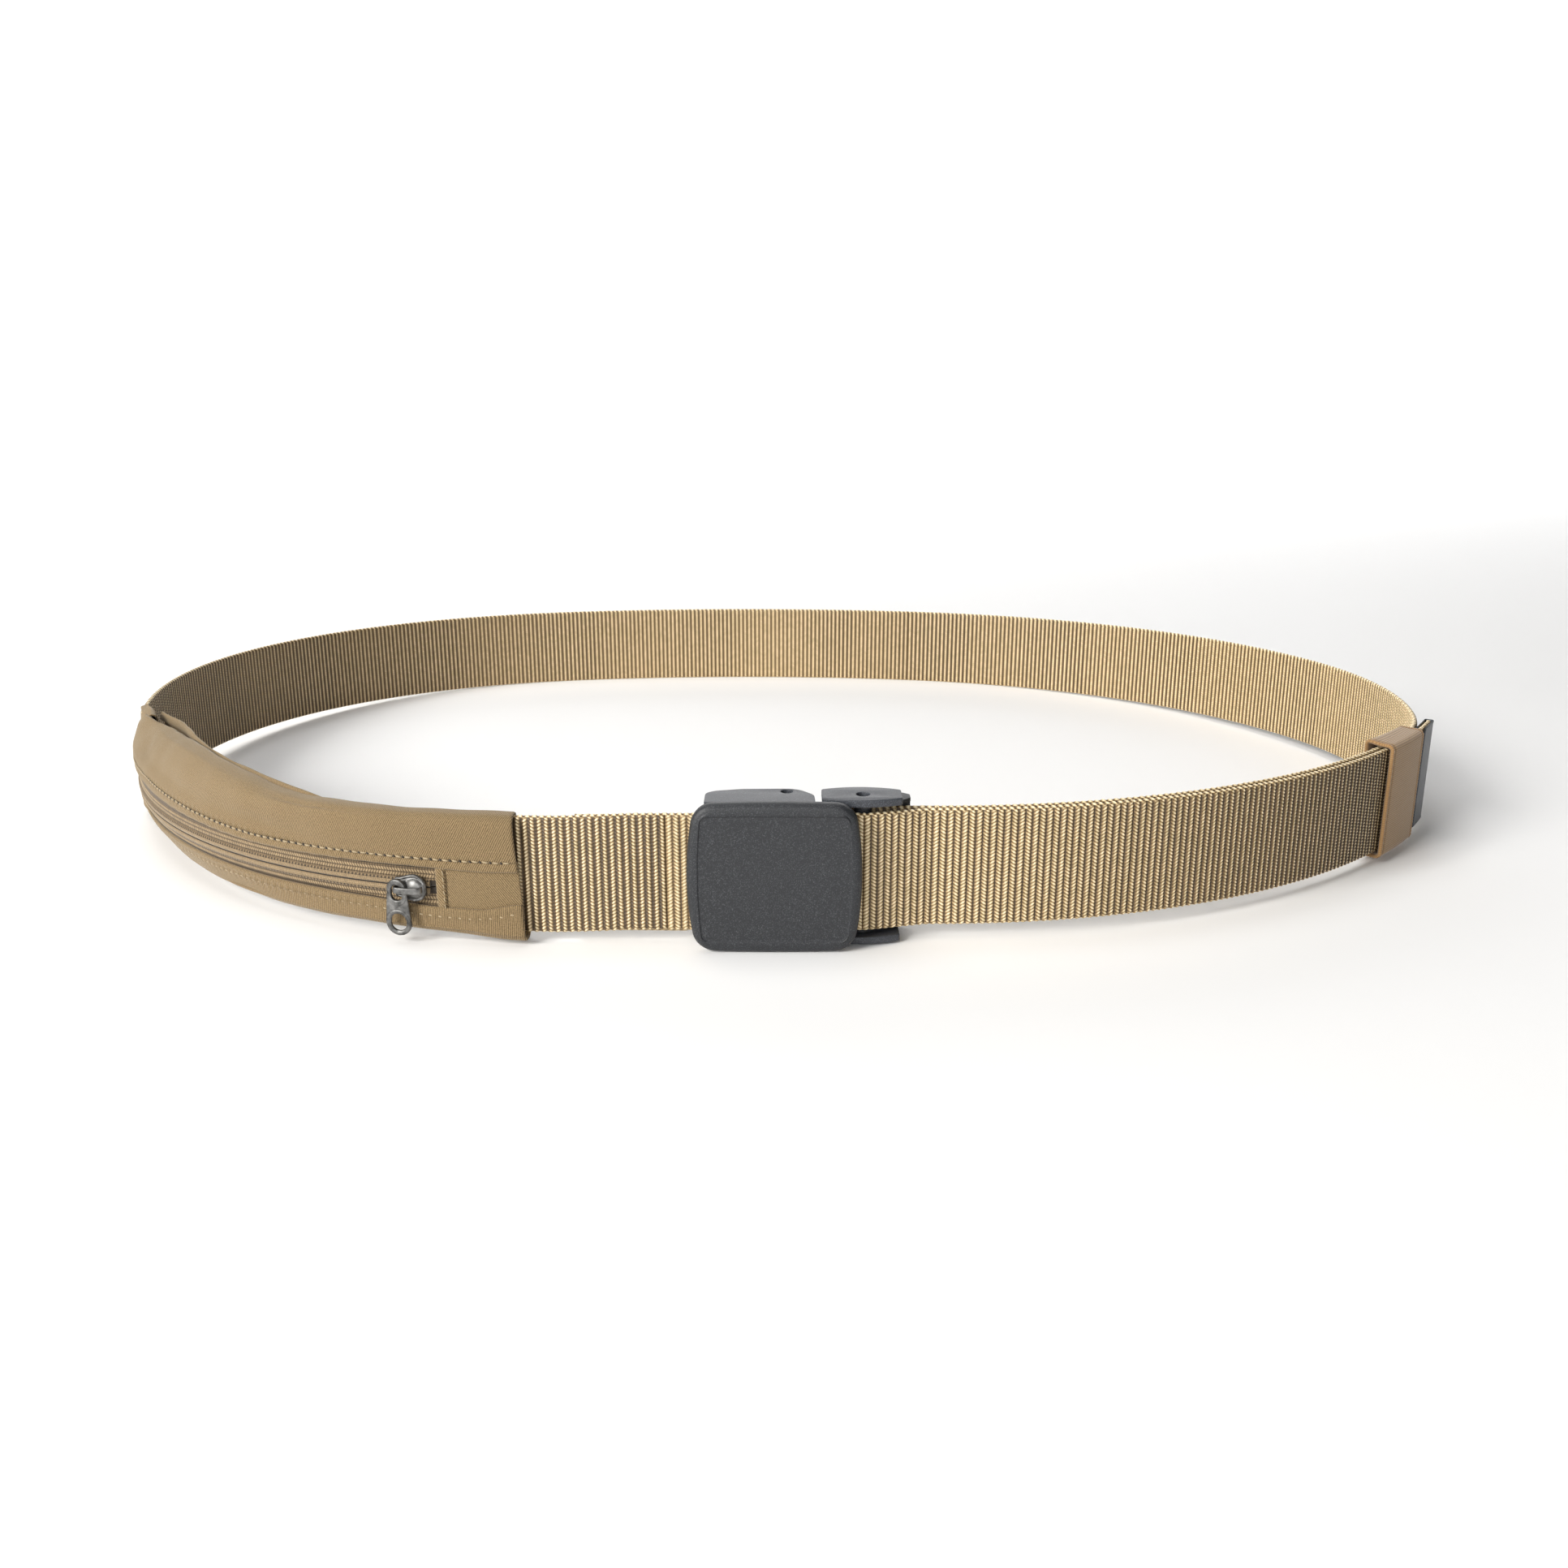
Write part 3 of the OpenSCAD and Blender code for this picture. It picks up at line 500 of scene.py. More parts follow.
def web_piece(name, cad, path, s0, s1, zf, phase=0.0, trim=0.0, ds=0.25, out_row=0.178, in_row=0.297,
              out_amp=0.5, in_amp=0.35, ends=True, rides="strap", dark=0.30):
    n = max(2, int(round((s1 - s0) / ds)))
    S = np.linspace(s0, s1, n + 1)
    no, ni, ne = int(round(WEB_W / out_row)), int(round(WEB_W / in_row)), 5
    zo = np.linspace(0.35 + trim, WEB_W - 0.35 - trim, no)
    zi = np.linspace(WEB_W - 0.35 - trim, 0.35 + trim, ni)
    t = (np.arange(1, ne + 1) / (ne + 1)) * pi
    P = path(S)
    ph = S + phase
    zb = zf(S)
    ho, vo = weave(ph[:, None], zo[None, :])
    hi, vi = weave(ph[:, None] + 0.9, zi[None, :] + 0.2)
    edge = np.minimum(zo, WEB_W - zo) - trim
    eo = 0.72 + 0.28 * np.clip(edge / 1.0, 0, 1)
    edge_i = np.minimum(zi, WEB_W - zi) - trim
    ei = 0.72 + 0.28 * np.clip(edge_i / 1.0, 0, 1)
    do = (0.92 - out_amp + out_amp * ho) * eo
    di = (0.86 - in_amp + in_amp * hi) * ei
    # selvedge: small loops, one for each rib
    loop = 0.5 + 0.5 * np.cos(2 * pi * ph / RIB)
    loop2 = 0.5 + 0.5 * np.cos(2 * pi * (ph / (RIB * 2)) + 0.6)
    rise = 0.06 + 0.20 * loop + 0.08 * loop2
    half = (do[:, -1] + di[:, 0]) / 2
    mid = (do[:, -1] - di[:, 0]) / 2
    bulge = 1 + 0.10 * np.sin(2 * pi * ph / RIB + 0.8)
    dt = mid[:, None] + half[:, None] * np.cos(t)[None, :] * bulge[:, None]
    zt = (WEB_W - 0.35 - trim) + (rise + 0.30)[:, None] * np.sin(t)[None, :]
    db = mid[:, None] - half[:, None] * np.cos(t)[None, :] * bulge[:, None]
    zbm = 0.35 + trim - (rise[::-1] * 0 + 0.30 + 0.12 * (1 - loop))[:, None] * np.sin(t)[None, :]
    D = np.concatenate([do, dt, -di, db], 1)
    Z = np.concatenate([np.broadcast_to(zo, do.shape), zt, np.broadcast_to(zi, di.shape), zbm], 1)
    Z = Z + zb[:, None]
    x = P[:, 0:1] + P[:, 2:3] * D
    y = P[:, 1:2] + P[:, 3:4] * D
    V = row(x, y, Z)
    lt = np.clip(0.15 + 0.75 * loop, 0, 1)
    ht = np.broadcast_to(lt[:, None], zt.shape)
    hb = np.broadcast_to((0.35 + 0.4 * loop)[:, None], zbm.shape)
    # painted shade: how deep the shade on one side of each rib is painted, deeper on the right-front run and along the
    # tail towards the keeper, varied along the inner face, and set by dark for other runs
    if path is MAIN:
        flank_shade_out = np.interp(ph, (A[0], 0.6 * A[0] + 0.4 * A[2], A[2]), (0.32, 0.45, 0.80))
        flank_shade_in = np.interp(ph, (A[2], A[4], 0.6 * A[4] + 0.4 * A[5], A[5], A[6]), (0.80, 0.74, 0.50, 0.62, 0.80))
    elif path is TAIL:
        flank_shade_out, flank_shade_in = np.interp(ph, (0.0, 40.0, 110.0, 150.0), (0.32, 0.34, 0.66, 0.95)), 0.62
    else:
        flank_shade_out, flank_shade_in = dark, 0.62
    hh = np.concatenate([ho * flank_shade(ph, 0, flank_shade_out)[:, None], ht, (0.20 + 0.65 * hi) * flank_shade(ph + 0.9, 1, flank_shade_in)[:, None], hb], 1)
    vv = np.concatenate([vo, np.full(zt.shape, 0.5), vi, np.full(zbm.shape, 0.4)], 1)
    wv = np.stack([hh, vv, np.zeros_like(hh)], -1)
    side = np.concatenate([np.zeros(no), np.full(ne, 3.0), np.full(ni, 40.0), np.full(ne, 43.0)])
    sc = np.stack([np.broadcast_to(ph[:, None], hh.shape), Z, np.broadcast_to(side[None], hh.shape)], -1)
    ob = tube_grid(name, V, {"wv": wv, "sc": sc}, [WEB])
    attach(ob, rides)
    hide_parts(*([cad] if isinstance(cad, str) else cad))
    return ob


def web_run(name, cad, path, s0, s1, zf, pieces=1, **kw):
    cuts = [s0 + (s1 - s0) * i / pieces for i in range(pieces + 1)]
    ph = kw.get("phase", 0.0)
    cuts = [s0] + [round((c + ph) / RIB) * RIB - ph for c in cuts[1:-1]] + [s1]
    for i in range(pieces):
        web_piece(f"{name}_{i + 1}" if pieces > 1 else name, cad, path, cuts[i], cuts[i + 1], zf, **kw)


flat_z = lambda s: np.full(np.shape(s), WEB_Z)
SEE = dict(ds=0.29, out_row=0.297, in_row=0.297)
web_run("webbing_right_front", "strap_front_run", MAIN, A[0], A[2], main_z, 2, ds=0.35, out_row=0.36, in_row=0.30)
web_run("webbing_right", "strap_right_run", MAIN, A[2], A[4], main_z, 2, **SEE)
web_run("webbing_back", "strap_back_run", MAIN, A[4], A[5], main_z, 2, **SEE)
web_run("webbing_left", "strap_left_run", MAIN, A[5], A[6], main_z, 2, **SEE)
web_run("webbing_inside_pocket", "strap_pocket_run", MAIN, A[6] + 32, A[7] - 4, main_z, 1, ds=0.6, out_row=0.9, in_row=0.9, out_amp=0.2, in_amp=0.2, trim=5.4)
web_run("webbing_at_mouth", "strap_pocket_run", MAIN, A[6], A[6] + 32, main_z, 1, ds=0.29, out_row=0.36, in_row=0.36)
def left_z(s):
    return main_z(s) - 0.9 * ease((A[8] - 4 - s) / 26.0)


web_run("webbing_left_front", "strap_pocket_run", MAIN, A[7] - 4, A[8], left_z, 1, ds=0.25, in_row=0.36)

TIP_A = 57.5
tail_c = (R1[0], R1[1], R1[2], 0, TIP_A)
TAIL = Path([("line", 21.4, -0.2, 22.4, -0.2), ("line", 22.4, -0.2, 37.6, 3.6), ("line", 37.6, 3.6, 39.6, 3.6), ("right", tail_c, TAIL_GAP)])
TAIL.at = [0.0]
for g in TAIL.segs:
    TAIL.at.append(TAIL.at[-1] + (hypot(g[3] - g[1], g[4] - g[2]) if g[0] == "line" else radians(TIP_A) * (R1[2] + TAIL_GAP)))
web_run("webbing_tail", "strap_tail", TAIL, 0.0, TAIL.at[-1], flat_z, 3, ds=0.25, in_row=0.6, in_amp=0.25)
TURN = Path([("line", 39.6, 5.8, 21.4, 5.8), ("right", (ADJ[0], ADJ[1], 3.0, 180, 360), 0)])
web_run("webbing_adjuster_turn", "strap_adjuster_loop", TURN, 0.0, TURN.length, flat_z, 1, ds=0.29, out_row=0.36, in_row=0.36, in_amp=0.2, out_amp=0.3)
SEWN = Path([("line", -26.4, 0, -15, 0), ("right", (BAR[0], BAR[1], 2.1, 0, 180), 0), ("line", -15, 4.2, -17.6, 4.2),
             ("line", -17.6, 4.2, -22.2, 1.72), ("line", -22.2, 1.72, -48.4, 2.35)])
web_run("webbing_sewn_end", "strap_sewn_end", SEWN, 0.0, SEWN.length, lambda s: WEB_Z - 1.0 * ease((np.asarray(s, float) - 11.6) / 5.5), 1, phase=A[8], ds=0.27, out_row=0.25, in_row=0.5, in_amp=0.2, out_amp=0.4)


# ------------------------------------------------------------------ pocket
PA0 = L2[3]
PR = L2[2]
LEN_P = radians(PDEG) * PR


def pk(a, d, z):
    """pocket coordinates: angle along it, offset outwards, height"""
    a, z = np.asarray(a, float), np.asarray(z, float)
    h = PA0 + a
    # towards the far end the bag's lower half rolls in under it
    roll = 0.0346 * ease((a - 14.0) / 40.0) * (1 - ease((a - 58.0) / 11.0)) * np.clip(16.0 - z, 0, None) ** 2
    d = np.asarray(d, float) - roll
    return row(-(L2[0] + (PR + d) * sd(h)), L2[1] - (PR + d) * cd(h), z)


def lerp(a, *pts):
    xs, ys = zip(*pts)
    return np.interp(a, xs, ys)


def sheet_strip(name, a, ctrl, K, thick, mat, cad, disp=None, scz=None, crease_shade=None, far=True):
    """A strip of fabric: ctrl is a list of (d, z) control points, each an array over a or a number."""
    D = np.stack([np.broadcast_to(np.asarray(c[0], float), a.shape) for c in ctrl])
    Z = np.stack([np.broadcast_to(np.asarray(c[1], float), a.shape) for c in ctrl])
    D, Z = spline(D, K).T, spline(Z, K).T                       # (na, K)
    gd, gz = np.gradient(D, axis=1), np.gradient(Z, axis=1)
    ln = np.sqrt(gd ** 2 + gz ** 2) + 1e-9
    nd, nz = gz / ln, -gd / ln                                   # left of travel
    T = np.concatenate([np.zeros((len(a), 1)), np.cumsum(np.sqrt(np.diff(D, axis=1) ** 2 + np.diff(Z, axis=1) ** 2), 1)], 1)
    s = np.radians(a)[:, None] * PR * np.ones((1, K))
    f = disp(s, T, D, Z) if disp else 0.0
    D, Z = D + nd * f, Z + nz * f
    h = thick / 2 * np.ones((1, K))
    e = np.minimum(np.arange(K), K - 1 - np.arange(K)) / 2.0
    h = h * np.sqrt(np.clip(1 - (1 - np.clip(e, 0, 1)) ** 2, 0.06, 1))[None]
    ae = np.minimum(s - s[0], s[-1] - s)
    h = h * np.sqrt(np.clip(1 - (1 - np.clip(ae / 0.5, 0, 1)) ** 2, 0.15, 1))
    Do, Zo, Di, Zi = D + nd * h, Z + nz * h, D - nd * h, Z - nz * h
    DD = np.concatenate([Do, Di[:, ::-1]], 1)
    ZZ = np.concatenate([Zo, Zi[:, ::-1]], 1)
    V = pk(a[:, None] - slant(a[:, None], ZZ, far), DD, ZZ)
    cr = crease_shade(s, T, D, Z) if crease_shade else np.zeros_like(D)
    wv = np.stack([np.concatenate([cr, cr[:, ::-1]], 1), np.zeros_like(DD), np.zeros_like(DD)], -1)
    sz = Z if scz is None else scz(s, T, D, Z)
    sc = np.stack([-np.concatenate([s, s[:, ::-1]], 1), np.concatenate([sz, sz[:, ::-1]], 1), np.zeros_like(DD)], -1)
    ob = tube_grid(name, V, {"wv": wv, "sc": sc}, [mat], cap="strip")
    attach(ob, "strap")
    if cad:
        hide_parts(*([cad] if isinstance(cad, str) else cad))
    return ob


def slant(a, z, far=True):
    """the pocket's near end leans out towards its lower corner, its far end leans back towards the top"""
    a = np.asarray(a, float)
    near = degrees(1.0) / PR * (0.7 + 2.1 * np.clip((33.0 - z) / 31.0, 0, 1)) * np.exp(-a / 5.0)
    return near + (8.0 * ease((a - 42.0) / (PDEG - 42.0)) * np.clip((z - 8.0) / 26.0, 0, 1) ** 1.2 if far else 0.0)


STITCH = 2.35
a_p = np.linspace(0, PDEG, 400)


def pucker(s, z, zrow, amp=0.13, reach=1.3):
    """fabric drawn in along a row of stitches"""
    w = np.exp(-((z - zrow) / reach) ** 2)
    return w * (-amp * 1.6 * np.exp(-((z - zrow) / 0.35) ** 2) + amp * np.cos(2 * pi * s / STITCH) * np.exp(-((np.abs(z - zrow) - 0.6) / 0.7) ** 2))


ZU, ZL = 19.2, 9.2            # lips of the zip band
RISE = ((0, 0.0), (28, 0.0), (40, 1.2), (52, 2.3), (62, 1.8), (70, 0.6))      # the upper lip climbs towards the far end
up_rise = lerp(a_p, *RISE)
lip_u = ZU - 0.15 + 0.22 * np.sin(a_p / 7.0) + lerp(a_p, (0, 0.0), (3, -0.25), (9, 0.2), (60, 0), (78, -0.3)) + 0.75 * up_rise
DIP = ((0, 1.35), (0.8, 1.25), (1.8, 0.55), (3.2, -0.25), (5, -0.2), (8, 0.0), (14, 1.0), (20, 1.3), (60, 1.1), (72, 0.7), (79, 0.5))
lip_l = ZL + 0.12 * np.sin(a_p / 6.0 + 1.0) + lerp(a_p, *DIP)


def soft(a, pts, win=9):
    """broken line with its corners eased"""
    k = np.linspace(-2.2, 2.2, win)
    return np.mean([lerp(np.asarray(a) + x, *pts) for x in k], 0)


a_top = a_p - slant(a_p, 34.0)
# where the front panel's top edge lies: it leans in over the slack of the bag
EDGE_D = ((-5, -1.5), (12, -1.5), (18, -1.6), (20, -1.8), (23, -2.6), (26, -3.6), (29, -4.4), (32, -5.0), (38, -6.3), (44, -7.2), (50, -7.5), (53, -7.0),
          (56, -5.8), (59, -4.2), (61, -2.8), (64, -1.0), (80, -1.0))
EDGE_Z = ((-5, 32.85), (5, 32.9), (10, 33.0), (14, 32.6), (18, 32.2), (23, 32.3), (26, 32.6), (29, 33.3), (32, 33.9), (35, 34.3), (38, 34.85), (41, 35.3),
          (44, 35.5), (47, 35.35), (50, 35.1), (53, 34.9), (56, 34.75), (59, 34.5), (61, 34.2), (64, 33.7), (80, 33.7))
edge_d, edge_z = soft(a_top, EDGE_D), soft(a_top, EDGE_Z) + 0.05 * np.sin(a_p / 2.1)
lean = np.clip((-edge_d - 1.5) / 6.0, 0, 1)
tuck = ease((a_top - 50) / 10)
bot_z = 2.0 + lerp(a_p, (0, -0.75), (1.5, -0.6), (5, 0.2), (10, 0.9), (15, 1.4), (22, 1.4), (34, 1.0), (48, 0.6), (60, 0.6), (72, 0.5))


def upper_disp(s, T, D, Z):
    f = 0.22 * cloud(s, Z * 1.4, 11) * np.clip((T - 3.5) / 5, 0, 1)
    # long soft hollow that climbs across the panel towards the far end
    c = np.degrees(s / PR)
    zh = lerp(c, (16, 23.6), (30, 24.6), (45, 27.0), (62, 29.5))
    m = np.exp(-((Z - zh) / 2.5) ** 2) * np.clip((D + 4.0) / 3.0, 0, 1)
    f = f - 1.45 * m * ease((c - 17) / 14) * (1 - ease((c - 58) / 9)) * (0.75 + 0.25 * np.sin(c / 3.1))
    f = f + 0.30 * np.exp(-((Z - 31.5) / 2.2) ** 2) * np.clip((D + 2.0) / 2.5, 0, 1) * ease((s - 30) / 60.0)
    front = (D > 2.2) & (T > 2.2)
    f = f + front * pucker(s, Z, 21.6 + lerp(c, *RISE), 0.12, 1.5)
    f = f + 0.05 * np.sin(s / 0.9 + Z) * np.exp(-((Z - 20.2) / 0.9) ** 2)
    return f


# painted shade: darkens the fold along the front panel's top edge towards the far end, and the upper row of stitches
# where the fabric is drawn in
def fold_and_stitch_shade(s, T, D, Z):
    top = np.exp(-((D - edge_d[:, None]) / 0.45) ** 2) * (Z > edge_z[:, None] - 1.2) * 0.6
    st = np.exp(-((Z - 21.6 - up_rise[:, None]) / 0.22) ** 2) * (D > 2.6) * (T > 2.2) * 0.35
    return np.clip(top * ease((s - 40) / 30) + st, 0, 1)


upper = [(2.75, lip_u + 2.6), (2.75, lip_u + 0.9), (3.1, lip_u + 0.28), (3.5, lip_u + 0.7), (3.45, lip_u + 2.2),
         (3.6 - 0.35 * lean - 0.2 * tuck, 24.0 + 0.8 * up_rise), (3.6 - 1.6 * lean - 1.3 * tuck, 27.6 + 0.3 * up_rise), (3.4 - 3.6 * lean - 2.4 * tuck, 30.6 + 0.4 * lean),
         (2.8 - 5.5 * lean - 2.9 * tuck, edge_z - 1.1 + 0.2 * lean), (1.8 - 6.4 * lean - 2.4 * tuck, edge_z - 0.25), (0.4 - 6.6 * lean - 1.2 * tuck, edge_z + 0.05),
         (edge_d * 0.93 + 0.1, edge_z + 0.05), (edge_d, edge_z - 0.3), (edge_d - 0.1, edge_z - 1.2),
         (edge_d + 0.1, edge_z - 3.5)]
sheet_strip("pocket_front_upper", a_p, upper, 92, 0.62, TWILL_UP, "pocket_upper_panel",
            disp=upper_disp, scz=lambda s, T, D, Z: T + 17.0, crease_shade=fold_and_stitch_shade)


def lower_disp(s, T, D, Z):
    f = 0.14 * cloud(s, Z * 1.4, 23) * np.clip((T - 3.5) / 4, 0, 1)
    front = (D > 2.2) & (T > 2.2)
    zr = 7.0 + lerp(np.degrees(s / PR), *DIP)
    f = f + front * pucker(s, Z, zr, 0.12, 1.4)
    # a few short upright tucks below the slider
    c = np.degrees(s / PR)
    f = f + front * 0.16 * np.sin(s * 2 * pi / 1.9) * np.exp(-((c - 9.5) / 2.2) ** 2) * np.exp(-((Z - 5.8) / 1.3) ** 2)
    return f


# painted shade along the lower row of stitches, where the fabric is drawn in
def lower_stitch_shade(s, T, D, Z):
    zr = 7.0 + lerp(np.degrees(s / PR), *DIP)
    return np.exp(-((Z - zr) / 0.22) ** 2) * (D > 2.6) * (T > 2.2) * 0.35


lower = [(2.75, lip_l - 2.6), (2.75, lip_l - 0.9), (3.1, lip_l - 0.28), (3.5, lip_l - 0.7), (3.45, lip_l - 2.1),
         (3.6, 3.6 + 0.72 * (bot_z - 2)), (3.45, 1.7 + bot_z), (2.95, 0.62 + bot_z), (2.1, 0.12 + bot_z), (0.9, bot_z + 0.0), (-0.5, 0.05 + bot_z), (-1.45, 0.7 + bot_z), (-1.72, 2.2 + bot_z), (-1.72, 4.0 + bot_z)]
sheet_strip("pocket_front_lower", a_p, lower, 70, 0.62, TWILL_LOW, "pocket_lower_panel",
            disp=lower_disp, scz=lambda s, T, D, Z: T, crease_shade=lower_stitch_shade)


def back_disp(s, T, D, Z):
    return 0.16 * cloud(s, Z * 1.3, 37, lo=9, hi=40)


bag = 0.92 * lean
back = [(-1.2 - 0.6 * bag, bot_z + 1.4), (-1.28 - 3.0 * bag, 10.0), (-1.3 - 5.6 * bag, 18.0), (-1.3 - 6.9 * bag, 26.0), (np.minimum(edge_d, -0.6) - 0.75, edge_z - 1.9)]
sheet_strip("pocket_back", a_p, back, 60, 0.5, TWILL_IN, "pocket_back_panel",
            disp=lambda s, T, D, Z: np.clip(back_disp(s, T, D, Z), -0.1, 0.14), scz=lambda s, T, D, Z: T)

# second layer standing along the top, behind the front panel; it stands off at the far end and leaves the mouth open
a_l = np.linspace(17, 66.0, 299)
LIP_D = ((15, -2.0), (20, -2.6), (26, -4.6), (32, -6.3), (38, -7.6), (44, -8.7), (48, -9.4), (52, -10.4), (57, -10.9), (60, -10.2), (63, -8.2), (66, -5.4), (70, -4.0))
LIP_Z = ((15, 31.7), (18, 32.2), (20, 32.5), (23, 33.0), (26, 33.7), (29, 34.2), (32, 34.5), (35, 34.7), (38, 34.9), (41, 35.2), (44, 35.4), (47, 35.9),
         (50, 36.0), (53, 35.6), (57, 34.6), (60, 34.0), (63, 33.7), (66, 33.5), (70, 33.4))
lip_d, lip_z = soft(a_l, LIP_D, 7), soft(a_l, LIP_Z, 7)
lip = [(lip_d + 0.6, lip_z - 9.5), (lip_d + 0.25, lip_z - 5.5), (lip_d, lip_z - 2.4), (lip_d + 0.05, lip_z - 0.8), (lip_d + 0.4, lip_z - 0.2),
       (lip_d + 0.8, lip_z - 0.8), (lip_d + 0.85, lip_z - 2.6)]
sheet_strip("pocket_inner_layer", a_l, lip, 44, 0.5, TWILL_IN, "pocket_inner_lip",
            disp=lambda s, T, D, Z: 0.10 * cloud(s, Z * 2, 5, lo=8, hi=30), scz=lambda s, T, D, Z: T, far=False)

# far end: a soft collar drawn in round the webbing, peaked at the top
a_m = np.linspace(PDEG - 1.2, PDEG + 5.0, 48)
u_m = ease((a_m - a_m[0]) / 6.2)
dr = 3.3 - 2.1 * u_m ** 1.4
di = -(3.9 - 2.5 * u_m ** 1.5)
pk_ = np.sin(pi * np.clip(u_m * 1.05, 0, 1))
mouth = [(-1.3 + 2.0 * u_m, 33.2 + 0.2 * u_m), (-0.5 + 1.6 * u_m, 32.6), (0.4 + 0.8 * u_m, 31.0), (1.8 - 0.6 * u_m, 27.8), (2.8 - 1.6 * u_m, 24.0),
         (3.2 - 2.0 * u_m, 18.0), (dr, 10.0), (dr * 0.95, 4.2), (dr * 0.6, 2.4 + 0.8 * u_m), (0.0, 2.1 + 1.0 * u_m),
         (-1.1, 2.7 + 0.6 * u_m), (-1.6, 6.0), (-1.9 + 0.4 * u_m, 14.0), (di * 0.8, 24.0), (di, 31.0), (di * 0.97, 33.7 + 0.3 * pk_),
         (di * 0.7, 34.5 + 0.5 * pk_ - 0.2 * u_m), (di * 0.35 - 0.5, 34.3 + 0.2 * pk_), (-1.3 + 1.9 * u_m, 33.9), (-0.9 + 1.9 * u_m, 33.4 + 0.3 * u_m)]


def gather(s, T, D, Z):
    return 0.10 * cloud(s, T, 77, lo=6, hi=18) * ease((s - s[0]) / 3.0)


sheet_strip("pocket_mouth_collar", a_m, mouth, 150, 0.5, TWILL_IN, "pocket_mouth",
            disp=gather, scz=lambda s, T, D, Z: T)

# facing between the closed end of the zip and the pocket's end
a_f = np.linspace(-0.02, 6.75, 61)
face = [(2.62, lip_l[0] - 3.4), (2.66, 9.5), (2.72, 12.0), (2.74, 14.5), (2.72, 17.0), (2.66, 19.2), (2.62, 21.6)]
sheet_strip("pocket_end_panel", a_f, face, 46, 0.4, TWILL_END, "pocket_end_facing",
            disp=lambda s, T, D, Z: 0.06 * cloud(s, Z, 9, lo=6, hi=18), scz=lambda s, T, D, Z: Z)
# folded tab beside the slider
a_t = np.linspace(6.5, 7.45, 22)
ut = (a_t - 6.5) / 0.95
bul = 0.42 * np.clip(np.sin(pi * ut), 0, 1) ** 0.6
tab = [(2.85, 8.6), (2.95 + bul, 10.2), (3.02 + bul, 12.4), (3.05 + bul, 14.4), (3.02 + bul, 16.4), (2.95 + bul, 18.6), (2.85, 20.2)]
sheet_strip("zip_end_tab", a_t, tab, 48, 0.45, mat_twill("twill_tab", 128, 0.55, contrast=1.3), "zip_end_tack",
            disp=lambda s, T, D, Z: 0.07 * np.sin(s * 2.2 + Z * 1.3), scz=lambda s, T, D, Z: Z)


# ------------------------------------------------------------------ stitches
def bead(c, t, n, length, r, seg=8, rings=7, twist=0.0):
    """an elongated thread lying along t at c, standing on normal n"""
    c, t, n = np.asarray(c, float), np.asarray(t, float), np.asarray(n, float)
    t = t / np.linalg.norm(t)
    b = np.cross(t, n)
    b = b / np.linalg.norm(b)
    n = np.cross(b, t)
    u = np.linspace(-1, 1, rings)
    rad = np.sqrt(np.clip(1 - np.abs(u) ** 2.6, 0.02, 1))
    th = np.arange(seg) * 2 * pi / seg
    lift = -0.55 * r * np.abs(u) ** 2.2
    V = (c[None, None] + t * (u * length / 2)[:, None, None] + n * lift[:, None, None]
         + (np.cos(th + twist)[None, :, None] * b + np.sin(th + twist)[None, :, None] * n * 0.85) * (rad * r)[:, None, None])
    V = V.reshape(-1, 3)
    q = []
    for i in range(rings - 1):
        for j in range(seg):
            k = (j + 1) % seg
            q.append((i * seg + j, i * seg + k, (i + 1) * seg + k, (i + 1) * seg + j))
    caps = [[(0, seg - 1 - j, seg - 2 - j, j + 1) if False else (j, (j + 1), seg - 2 - j, seg - 1 - j)] for j in range(seg // 2 - 1)]
    for f, in caps:
        q.append(tuple(f)[::-1])
        q.append(tuple((rings - 1) * seg + x for x in f))
    return V, np.array(q)


def stitch_object(name, beads, mat, body, cad):
    v, q = join_verts(beads)
    ob = mesh_of(name, v, q, mats=[mat], flip_check=True)
    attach(ob, body)
    if cad:
        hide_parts(*([cad] if isinstance(cad, str) else cad))
    return ob


def pocket_frame(a, d, z):
    p = pk(a - slant(a, z), d, z)
    h = PA0 + a
    t = np.array([-cd(h), sd(h), 0.0])
    n = np.array([-sd(h), -cd(h), 0.0])
    return p, t, n


def row_of_stitches(name, zf, a0, a1, cad, d=3.80, r=0.00024, slant=0.10):
    out, holes = [], []
    n = int(radians(a1 - a0) * PR / STITCH)
    for i in range(n):
        a = a0 + degrees((i + 0.5) * STITCH / PR)
        jit = (hash01(i, 5) - 0.5) * 0.12
        p, t, nn = pocket_frame(a, d + (hash01(i, 9) - 0.5) * 0.04, zf(a) + jit)
        t2 = t + np.array([0, 0, 1]) * (slant + (hash01(i, 2) - 0.5) * 0.22)
        out.append(bead(p, t2, nn, (1.62 + 0.2 * hash01(i, 3)) / 1000, r))
        # end of the stitch going down: a short dark slanted bead, painted shade in the needle hole
        p2, t, nn = pocket_frame(a + degrees(STITCH / 2 / PR), d - 0.10, zf(a) - 0.05)
        holes.append(bead(p2, t * 0.6 + np.array([0, 0, 1]) * 0.8, nn, 0.00085, r * 1.05))
    stitch_object(name + "_holes", holes, NEEDLE_HOLE_SHADE, "strap", None)
    return stitch_object(name, out, THREAD, "strap", cad)


